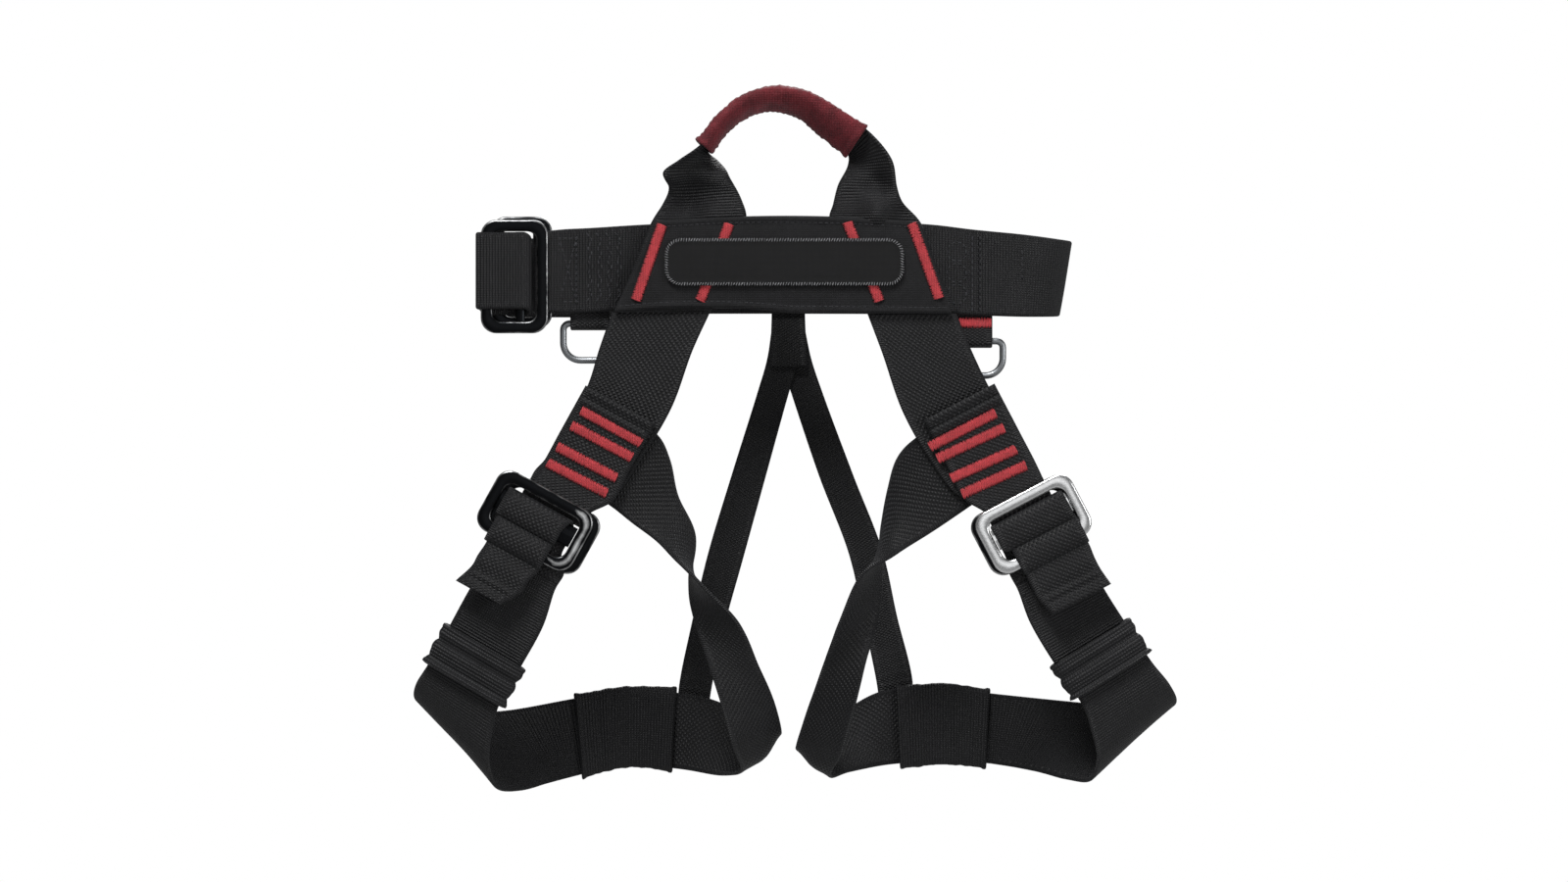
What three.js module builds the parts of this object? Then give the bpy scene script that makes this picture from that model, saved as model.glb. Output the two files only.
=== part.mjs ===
// Tree climbing saddle: a half-body harness of flat webbing, hanging from its tie-in loop.
//
// Millimetres. +X to the right as seen from the front, +Y to the back, +Z up.
// The origin is the hang point, under the top of the sleeved tie-in loop.
import * as THREE from "three";

// Webbing
const WEB = 2.0; // thickness of the leg webbing
const BELT = 2.2; // thickness of the waist webbing
const NARROW_WEB = 1.5; // thickness of the 20 mm webbing at the back and in the ring tabs
const GAP = 0.3; // clearance between layers that are sewn or pressed together
const STITCH = 0.8; // height of a bar tack above the webbing
const TACK_WIDTH = 4.8;

// Layers of the front, from the belt forwards, as places of their middle planes along Y
const WEB_Y = 0;
const BELT_Y = WEB_Y + WEB / 2 + GAP + BELT / 2;
const PANEL = 2.5;
const PANEL_BACK = WEB_Y - WEB / 2 - GAP;
const PANEL_TACK_BACK = PANEL_BACK - PANEL - GAP;
const LABEL = 1.2;
const LABEL_BACK = PANEL_TACK_BACK - STITCH - GAP;

// Waist loop
const BACK_RUN_Y = 52; // middle plane of the belt's back run
const FRONT_BOTTOM = -105; // lower end of the tie-in webbing, behind the panel

// Pressed steel
const STEEL = 3.0; // thickness of the buckle plates
const RAIL = 6.0; // width of a buckle's rails
const BUCKLE_LONG = 56;
const BUCKLE_SHORT = 35;
const WAIST_BUCKLE_LONG = 59;
const WAIST_FRAME_SHORT = BUCKLE_SHORT - 3;
const WAIST_FRAME_LONG = WAIST_BUCKLE_LONG - 0.6;
const WAIST_BAR = 5; // width of the waist buckle's cross bar
const LEG_BAR = 11; // width of a leg buckle's cross bar
const BUCKLE_CORNER = 8;

// Gear rings and their tabs
const RING_WIRE = 3.5;
const RING_Y = 8;
const RING_HALF_WIDTH = 14.6;
const LEFT_RING = { middle: -103.6, barZ: -110.2, bottomZ: -129.4 };
const RIGHT_RING = { middle: 96.6, barZ: -119.4, bottomZ: -137.4 };
const TAB_WIDTH = 20.5;
const TAB_TOP_Z = -78;

// Sleeves: thickness over all, how far they reach past the webbing's edges, and their cloth
const LOOP_SLEEVE = { thickness: 9.6, overlap: 2, wall: 1.1, steps: 2 };
const THIGH_SLEEVE = { thickness: 7, overlap: 2.6, wall: 1.2, steps: 2 };
const KEEPER = { thickness: 7, overlap: 2.4, wall: 1.3, steps: 1 };

// Colours of the pieces
const BLACK_WEBBING = new THREE.MeshStandardMaterial({ color: "#26272a", roughness: 0.85, metalness: 0 });
const NARROW_WEBBING = new THREE.MeshStandardMaterial({ color: "#303134", roughness: 0.8, metalness: 0 });
const COVER_CLOTH = new THREE.MeshStandardMaterial({ color: "#222326", roughness: 0.9, metalness: 0 });
const LABEL_CLOTH = new THREE.MeshStandardMaterial({ color: "#17181a", roughness: 0.7, metalness: 0 });
const RED_THREAD = new THREE.MeshStandardMaterial({ color: "#b8323a", roughness: 0.6, metalness: 0 });
const RED_SLEEVE = new THREE.MeshStandardMaterial({ color: "#74262d", roughness: 0.75, metalness: 0 });
const ELASTIC = new THREE.MeshStandardMaterial({ color: "#2b2c2f", roughness: 0.8, metalness: 0 });
const BRIGHT_STEEL = new THREE.MeshStandardMaterial({ color: "#b4b6b8", roughness: 0.25, metalness: 1 });
const BLACK_STEEL = new THREE.MeshStandardMaterial({ color: "#2a2b2d", roughness: 0.35, metalness: 1 });
const RING_STEEL = new THREE.MeshStandardMaterial({ color: "#7c7f82", roughness: 0.35, metalness: 1 });

const saddle = new THREE.Group();

function add(name, geometry, material, parent = saddle) {
  const mesh = new THREE.Mesh(geometry, material);
  mesh.name = name;
  parent.add(mesh);
  return mesh;
}

function vector([x, y, z]) {
  return new THREE.Vector3(x, y, z);
}

// A closed skin over a row of rings of points. The row is capped at both ends, or joined
// into a ring of its own when it loops.
function skin(rings, loops = false) {
  const size = rings[0].length;
  const positions = rings.flat().flatMap((point) => [point.x, point.y, point.z]);
  const faces = [];
  const spans = loops ? rings.length : rings.length - 1;
  for (let row = 0; row < spans; row += 1) {
    const next = (row + 1) % rings.length;
    for (let side = 0; side < size; side += 1) {
      const other = (side + 1) % size;
      const corners = [row * size + side, row * size + other, next * size + other, next * size + side];
      faces.push(corners[0], corners[1], corners[2], corners[0], corners[2], corners[3]);
    }
  }
  if (!loops) {
    const last = (rings.length - 1) * size;
    for (let side = 1; side < size - 1; side += 1) {
      faces.push(0, side + 1, side);
      faces.push(last, last + side, last + side + 1);
    }
  }
  const geometry = new THREE.BufferGeometry();
  geometry.setAttribute("position", new THREE.Float32BufferAttribute(positions, 3));
  geometry.setIndex(outward(positions, faces));
  return geometry;
}

// The faces, turned over if they enclose a negative volume.
function outward(positions, faces) {
  const corner = (index) => new THREE.Vector3().fromArray(positions, index * 3);
  let volume = 0;
  for (let at = 0; at < faces.length; at += 3) {
    const [a, b, c] = [corner(faces[at]), corner(faces[at + 1]), corner(faces[at + 2])];
    volume += a.dot(b.cross(c));
  }
  if (volume > 0) {
    return faces;
  }
  const turned = [];
  for (let at = 0; at < faces.length; at += 3) {
    turned.push(faces[at], faces[at + 2], faces[at + 1]);
  }
  return turned;
}

// The four corners of a strap's section between its two edges.
function section(edgeA, edgeB, along, thickness) {
  const across = edgeB.clone().sub(edgeA);
  const lift = along.clone().cross(across).normalize().multiplyScalar(thickness / 2);
  return [
    edgeA.clone().sub(lift),
    edgeB.clone().sub(lift),
    edgeB.clone().add(lift),
    edgeA.clone().add(lift),
  ];
}

// A flat strap. Each station holds a point on one edge and the point across from it on the
// other edge; a smooth curve joins the stations.
function strap(stations, thickness, steps = 4) {
  const edges = [0, 1].map((edge) => {
    const points = stations.map((station) => vector(station[edge]));
    return new THREE.CatmullRomCurve3(points, false, "centripetal");
  });
  const count = (stations.length - 1) * steps;
  const rings = [];
  for (let step = 0; step <= count; step += 1) {
    const place = step / count;
    const [edgeA, edgeB] = edges.map((edge) => edge.getPoint(place));
    const ahead = Math.min(1, place + 0.002);
    const behind = Math.max(0, place - 0.002);
    const along = new THREE.Vector3();
    edges.forEach((edge) => along.add(edge.getPoint(ahead)).sub(edge.getPoint(behind)));
    rings.push(section(edgeA, edgeB, along, thickness));
  }
  return skin(rings);
}

// A strap folded round bars: its stations are joined by straight stretches.
function foldedStrap(stations, thickness) {
  const middles = stations.map(([a, b]) => vector(a).add(vector(b)).divideScalar(2));
  const rings = stations.map(([a, b], index) => {
    const before = middles[Math.max(0, index - 1)];
    const after = middles[Math.min(middles.length - 1, index + 1)];
    return section(vector(a), vector(b), after.clone().sub(before), thickness);
  });
  return skin(rings);
}

// The two edge points of a strap that lies across X, at a place in the Y-Z plane.
function crossStation(middle, width, y, z) {
  return [[middle - width / 2, y, z], [middle + width / 2, y, z]];
}

// Points on an arc in a plane, from one angle to another in degrees.
function arc(centreA, centreB, radius, from, to, steps = 6) {
  return Array.from({ length: steps + 1 }, (_, step) => {
    const angle = THREE.MathUtils.degToRad(from + ((to - from) * step) / steps);
    return [centreA + radius * Math.cos(angle), centreB + radius * Math.sin(angle)];
  });
}

// A flat piece with its outline in X and Z, from its back plane forwards.
function slab(shape, back, thickness, curveSegments = 4) {
  const options = { depth: thickness, bevelEnabled: false, curveSegments };
  const geometry = new THREE.ExtrudeGeometry(shape, options);
  return geometry.rotateX(Math.PI / 2).translate(0, back, 0);
}

function roundedRectangle(target, width, height, radius) {
  const [x, z] = [width / 2, height / 2];
  target.moveTo(-x + radius, -z);
  target.lineTo(x - radius, -z);
  target.absarc(x - radius, -z + radius, radius, -Math.PI / 2, 0);
  target.lineTo(x, z - radius);
  target.absarc(x - radius, z - radius, radius, 0, Math.PI / 2);
  target.lineTo(-x + radius, z);
  target.absarc(-x + radius, z - radius, radius, Math.PI / 2, Math.PI);
  target.lineTo(-x, -z + radius);
  target.absarc(-x + radius, -z + radius, radius, Math.PI, Math.PI * 1.5);
  return target;
}

// A pressed steel frame with one window, its middle plane at Y 0.
function buckleFrame(long, short) {
  const shape = roundedRectangle(new THREE.Shape(), long, short, BUCKLE_CORNER);
  const window = new THREE.Path();
  roundedRectangle(window, long - 2 * RAIL, short - 2 * RAIL, BUCKLE_CORNER - RAIL / 2);
  shape.holes.push(window);
  return slab(shape, STEEL / 2, STEEL);
}

// The round-ended bar that lies across a buckle's window and carries the webbing.
function crossBar(length, width) {
  const bar = new THREE.CylinderGeometry(width / 2, width / 2, length, 12);
  return bar.rotateZ(Math.PI / 2).scale(1, STEEL / width, 1);
}

// A row of thread between two points, given as [x, z], standing on a surface.
function barTack(start, end, back, width = TACK_WIDTH) {
  const length = Math.hypot(end[0] - start[0], end[1] - start[1]);
  const shape = roundedRectangle(new THREE.Shape(), length, width, width / 2.5);
  const geometry = slab(shape, 0, STITCH, 2);
  geometry.rotateY(-Math.atan2(end[1] - start[1], end[0] - start[0]));
  return geometry.translate((start[0] + end[0]) / 2, back, (start[1] + end[1]) / 2);
}

// A sleeve round a strap: stations as for a strap, widened on both sides and hollow inside.
function sleeve(stations, { thickness, overlap, wall, steps }) {
  const edges = [0, 1].map((edge) => {
    const points = stations.map((station) => vector(station[edge]));
    return new THREE.CatmullRomCurve3(points, false, "centripetal");
  });
  const count = (stations.length - 1) * steps;
  const outer = [];
  const inner = [];
  for (let step = 0; step <= count; step += 1) {
    const place = step / count;
    const [edgeA, edgeB] = edges.map((edge) => edge.getPoint(place));
    const along = edges[0].getTangent(place).add(edges[1].getTangent(place));
    const across = edgeB.clone().sub(edgeA).normalize();
    outer.push(roundedSection(edgeA, edgeB, across, along, overlap, thickness));
    inner.push(roundedSection(edgeA, edgeB, across, along, overlap - wall, thickness - 2 * wall));
  }
  return skin([...outer, ...inner.reverse()], true);
}

// Eight corners round a strap's section, reaching past both of its edges.
function roundedSection(edgeA, edgeB, across, along, overlap, thickness) {
  const lift = along.clone().cross(across).normalize();
  const corner = (edge, side, out, up) => edge.clone()
    .addScaledVector(across, side * (overlap + out))
    .addScaledVector(lift, up);
  const [low, high] = [thickness / 4, thickness / 2];
  const inset = -thickness / 4;
  return [
    corner(edgeA, -1, inset, -high),
    corner(edgeB, 1, inset, -high),
    corner(edgeB, 1, 0, -low),
    corner(edgeB, 1, 0, low),
    corner(edgeB, 1, inset, high),
    corner(edgeA, -1, inset, high),
    corner(edgeA, -1, 0, low),
    corner(edgeA, -1, 0, -low),
  ];
}

// ---------------------------------------------------------------- waist belt

// The belt is one long strap, open only at the buckle: it starts folded round the buckle
// frame, runs across the front, bends back at the right and returns along the back.
const FRAME_X = -139.8; // middle of the waist buckle's frame
const FRAME_Y = 3.7;
const FRAME_RAIL_X = FRAME_X + 10; // inner edge of the rail that the belt is folded round
const FOLD_RADIUS = STEEL / 2 + GAP + BELT / 2;
const PLATE_X = -143.2;
const PLATE_Y = FRAME_Y - STEEL / 2 - GAP - BELT - GAP - STEEL / 2;
const WAIST_MIDDLE_Z = -85;

// The two edge points of a belt that stands on its edge. It leans to the right at its top.
function beltStation(x, y, top, bottom, lean = 0) {
  return [[x + lean, y, top], [x - lean, y, bottom]];
}

const foldAtFrame = arc(FRAME_RAIL_X, FRAME_Y, FOLD_RADIUS, 90, 270, 4)
  .map(([x, y]) => beltStation(x, y, -62.4, -104.6));
const beltFront = [
  beltStation(-117, BELT_Y - 0.7, -61.2, -105),
  beltStation(-105, BELT_Y, -60.6, -104.6),
  beltStation(-70, BELT_Y, -58.5, -103),
  beltStation(0, BELT_Y, -57, -102.5),
  beltStation(70, BELT_Y, -58.5, -104.5),
  beltStation(96, BELT_Y, -61.4, -106),
];
const beltRight = [
  beltStation(122, BELT_Y + 1.6, -64, -106.8, 0.8),
  beltStation(137.4, BELT_Y + 8.5, -66, -106.6, 2.8),
  beltStation(144, BELT_Y + 22, -66.6, -106, 3.4),
  beltStation(139.4, BELT_Y + 37, -66.4, -105.4, 2.8),
  beltStation(125, BACK_RUN_Y - 1.4, -65.8, -105, 1.2),
];
const beltBack = [
  beltStation(108, BACK_RUN_Y, -65, -104.6),
  beltStation(60, BACK_RUN_Y, -64.4, -104.2),
  beltStation(0, BACK_RUN_Y, -64, -104),
  beltStation(-60, BACK_RUN_Y, -64, -104),
  beltStation(-120, BACK_RUN_Y, -64, -104),
  beltStation(-146, BACK_RUN_Y - 3, -64, -104),
  beltStation(-158.4, BACK_RUN_Y - 14, -64, -104),
  beltStation(-161.2, BACK_RUN_Y - 27, -64, -104),
];
const beltStations = [
  beltStation(-117, FRAME_Y + FOLD_RADIUS, -62.4, -104.6),
  ...foldAtFrame,
  ...beltFront,
  ...beltRight,
  ...beltBack,
];
add("waist_belt", strap(beltStations, BELT, 3), BLACK_WEBBING);

// The frame sits a little higher than the plate in front of it.
const WAIST_FRAME_Z = WAIST_MIDDLE_Z + 1.2;
const WAIST_PLATE_Z = WAIST_MIDDLE_Z - 1;
const waistFrame = buckleFrame(WAIST_FRAME_SHORT, WAIST_FRAME_LONG);
waistFrame.translate(FRAME_X, FRAME_Y, WAIST_FRAME_Z);
add("waist_buckle_frame", waistFrame, BLACK_STEEL);
const waistPlate = buckleFrame(BUCKLE_SHORT, WAIST_BUCKLE_LONG).translate(PLATE_X, PLATE_Y, WAIST_PLATE_Z);
add("waist_buckle_plate", waistPlate, BLACK_STEEL);
const WAIST_BAR_X = PLATE_X + 3;
const waistBar = crossBar(WAIST_BUCKLE_LONG - 2 * RAIL - 2 * GAP, WAIST_BAR);
waistBar.rotateY(Math.PI / 2);
add("waist_buckle_bar", waistBar.translate(WAIST_BAR_X, PLATE_Y, WAIST_PLATE_Z), BLACK_STEEL);

// The free end of the belt comes round the left side, over the plate's outer rail and its
// bar, dives through the window and goes back the way it came, under itself.
const OVER_Y = PLATE_Y - STEEL / 2 - GAP - BELT / 2;
const UNDER_Y = PLATE_Y + STEEL / 2 + GAP + BELT / 2;
const SIDE_X = -161.2;
const TUCKED_X = SIDE_X + BELT + GAP;
const FRAME_LEFT = FRAME_X - WAIST_FRAME_SHORT / 2;
const WRAP_RADIUS = GAP + BELT / 2; // middle of the web round the plate's edge
const PLATE_LEFT = PLATE_X - BUCKLE_SHORT / 2;
const overPlate = [
  [SIDE_X, BACK_RUN_Y - 27.6],
  [SIDE_X - 0.6, 14],
  [PLATE_LEFT - WRAP_RADIUS, 4],
  ...arc(PLATE_LEFT, PLATE_Y - STEEL / 2, WRAP_RADIUS, 180, 270, 3),
  [WAIST_BAR_X - 4, OVER_Y],
];
const TURN_START = overPlate.length;
const adjusterPath = [
  ...overPlate,
  ...arc(WAIST_BAR_X + 2, PLATE_Y, UNDER_Y - PLATE_Y, -90, 90, 6),
  [WAIST_BAR_X - 8, UNDER_Y],
  [FRAME_LEFT + 1.8, UNDER_Y],
  [FRAME_LEFT - 0.8, UNDER_Y + 0.2],
  [TUCKED_X + 0.6, UNDER_Y + 1.7],
  [TUCKED_X, UNDER_Y + 4],
  [TUCKED_X + 0.6, 14],
  [TUCKED_X + 1, BACK_RUN_Y - 27.6],
];
const SLIPPED = 3; // how much lower the tucked run lies
const adjusterStations = adjusterPath.map(([x, y], index) => {
  const lower = THREE.MathUtils.smoothstep(index, TURN_START, TURN_START + 5) * SLIPPED;
  return beltStation(x, y, -63.4 - lower, -103 - lower);
});
add("waist_adjuster_web", foldedStrap(adjusterStations, BELT), BLACK_WEBBING);

const tailStations = [
  beltStation(TUCKED_X + 1, BACK_RUN_Y - 27, -66.4, -106),
  beltStation(TUCKED_X + 3.8, BACK_RUN_Y - 16, -66.2, -106),
  beltStation(-144.6, BACK_RUN_Y - 6, -65.6, -105.4),
  beltStation(-120, BACK_RUN_Y - 2.9, -65, -105),
  beltStation(-84, BACK_RUN_Y - 2.9, -65, -105),
];
add("waist_tail", strap(tailStations, BELT, 3), BLACK_WEBBING);

// ---------------------------------------------------------------- front panel

const panelShape = new THREE.Shape();
panelShape.moveTo(-91.8, -105);
panelShape.quadraticCurveTo(-46, -99.5, 0, -105);
panelShape.lineTo(84.5, -105.6);
panelShape.lineTo(67, -57.4);
panelShape.quadraticCurveTo(0, -51.5, -69.5, -57.2);
panelShape.closePath();
add("front_panel", slab(panelShape, PANEL_BACK, PANEL, 8), COVER_CLOTH);

const panelTacks = {
  panel_tack_left_outer: [[-66.5, -59.5], [-79.8, -98]],
  panel_tack_left_inner: [[-31.6, -59], [-46.4, -98.3]],
  panel_tack_right_inner: [[30, -58.2], [46.4, -98.5]],
  panel_tack_right_outer: [[63.6, -58.8], [77.4, -97]],
};
for (const [name, [top, bottom]] of Object.entries(panelTacks)) {
  add(name, barTack(top, bottom, PANEL_TACK_BACK), RED_THREAD);
}

const labelShape = roundedRectangle(new THREE.Shape(), 124, 24.5, 8);
add("label_patch", slab(labelShape, LABEL_BACK, LABEL).translate(-2.8, 0, -78.5), LABEL_CLOTH);

// ---------------------------------------------------------------- tie-in loop

// The loop's webbing lies flat behind the panel and folds lengthwise into the sleeve. Each
// entry is the middle of the folded web as x and z, and how far its broad side is turned
// out of the depth direction, in degrees.
const FOLDED_HALF_WIDTH = 10;
const sleevedRun = [
  [-44.4, -18.4, 8],
  [-33.7, -5.1, 10],
  [-21.4, 3.6, 16],
  [-8.2, 6.6, 22],
  [7.7, 3.1, 30],
  [20.4, -5.6, 40],
  [34.7, -15.6, 48],
];

function foldedStation([x, z, turned], index) {
  const before = sleevedRun[Math.max(0, index - 1)];
  const after = sleevedRun[Math.min(sleevedRun.length - 1, index + 1)];
  const outwards = new THREE.Vector2(before[1] - after[1], after[0] - before[0]).normalize();
  const angle = THREE.MathUtils.degToRad(turned);
  const rise = FOLDED_HALF_WIDTH * Math.sin(angle);
  const depth = FOLDED_HALF_WIDTH * Math.cos(angle);
  return [
    [x + outwards.x * rise, -depth, z + outwards.y * rise],
    [x - outwards.x * rise, depth, z - outwards.y * rise],
  ];
}

const foldedStations = sleevedRun.map(foldedStation);
const loopStations = [
  [[-91, 0, FRONT_BOTTOM], [-41, 0, FRONT_BOTTOM]],
  [[-81.5, 0, -81], [-31.5, 0, -80.5]],
  [[-72, 0, -57.6], [-22.5, 0, -56]],
  [[-64.5, -2, -44], [-27.5, 1, -45]],
  [[-57, -6, -30], [-36, 6, -33]],
  ...foldedStations,
  [[51, -5, -28.5], [28, 6, -33]],
  [[56.5, -2, -44], [22, 1, -45]],
  [[67.5, 0, -57.6], [20.5, 0, -56]],
  [[76.5, 0, -81], [30, 0, -80.5]],
  [[87, 0, FRONT_BOTTOM], [40, 0, FRONT_BOTTOM]],
];
add("tie_in_web", strap(loopStations, WEB, 2), BLACK_WEBBING);
add("loop_sleeve", sleeve(foldedStations, LOOP_SLEEVE), RED_SLEEVE);

// ---------------------------------------------------------------- gear rings

// A D-shaped ring of round wire hangs in a folded tab behind the belt on each side.
function gearRing(name, { middle, barZ, bottomZ }) {
  const corner = 3.4;
  const bend = RING_HALF_WIDTH - 5.5;
  const floor = bottomZ + bend;
  const cornerX = RING_HALF_WIDTH - corner;
  const bendX = RING_HALF_WIDTH - bend;
  const outline = [
    [-cornerX, barZ],
    [cornerX, barZ],
    ...arc(cornerX, barZ - corner, corner, 60, 0, 2),
    ...arc(bendX, floor, bend, 0, -90, 4),
    ...arc(-bendX, floor, bend, -90, -180, 4),
    ...arc(-cornerX, barZ - corner, corner, 180, 120, 2),
  ];
  const rings = outline.map((point, index) => {
    const before = outline[(index + outline.length - 1) % outline.length];
    const after = outline[(index + 1) % outline.length];
    const along = new THREE.Vector2(after[0] - before[0], after[1] - before[1]).normalize();
    const out = new THREE.Vector2(-along.y, along.x);
    return Array.from({ length: 8 }, (_, side) => {
      const angle = ((side + 0.5) * Math.PI) / 4;
      const radius = RING_WIRE / 2 / Math.cos(Math.PI / 8);
      const reach = radius * Math.cos(angle);
      const depth = radius * Math.sin(angle);
      return new THREE.Vector3(point[0] + out.x * reach, depth, point[1] + out.y * reach);
    });
  });
  add(name, skin(rings, true).translate(middle, RING_Y, 0), RING_STEEL);
}

function ringTab(name, middle, barZ) {
  const radius = RING_WIRE / 2 + GAP + NARROW_WEB / 2;
  const path = [
    [RING_Y - radius, TAB_TOP_Z],
    ...arc(RING_Y, barZ, radius, 180, 360, 8),
    [RING_Y + radius, TAB_TOP_Z],
  ];
  const stations = path.map(([y, z]) => crossStation(middle, TAB_WIDTH, y, z));
  add(name, foldedStrap(stations, NARROW_WEB), NARROW_WEBBING);
}

ringTab("left_ring_tab", LEFT_RING.middle - 0.6, LEFT_RING.barZ);
gearRing("left_gear_ring", LEFT_RING);
ringTab("right_ring_tab", RIGHT_RING.middle - 1.2, RIGHT_RING.barZ);
gearRing("right_gear_ring", RIGHT_RING);
const tabTackBack = RING_Y - RING_WIRE / 2 - GAP - NARROW_WEB - GAP;
add("right_tab_tack", barTack([86, -109.8], [104.6, -109.8], tabTackBack, 4.4), RED_THREAD);

// ---------------------------------------------------------------- rear strap

// A 20 mm strap joins the back of the belt to both leg loops and forks below the belt.
const REAR_Y = BACK_RUN_Y + BELT / 2 + GAP + NARROW_WEB / 2;
const FORK_Z = -143;
const trunk = [
  [[-9.6, REAR_Y, -70], [8.2, REAR_Y, -70]],
  [[-9.6, REAR_Y, -105], [8.2, REAR_Y, -105]],
  [[-12.6, REAR_Y + 0.6, FORK_Z], [11.2, REAR_Y + 0.6, FORK_Z]],
];
add("rear_strap_trunk", strap(trunk, NARROW_WEB, 2), NARROW_WEBBING);

// ---------------------------------------------------------------- legs

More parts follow.
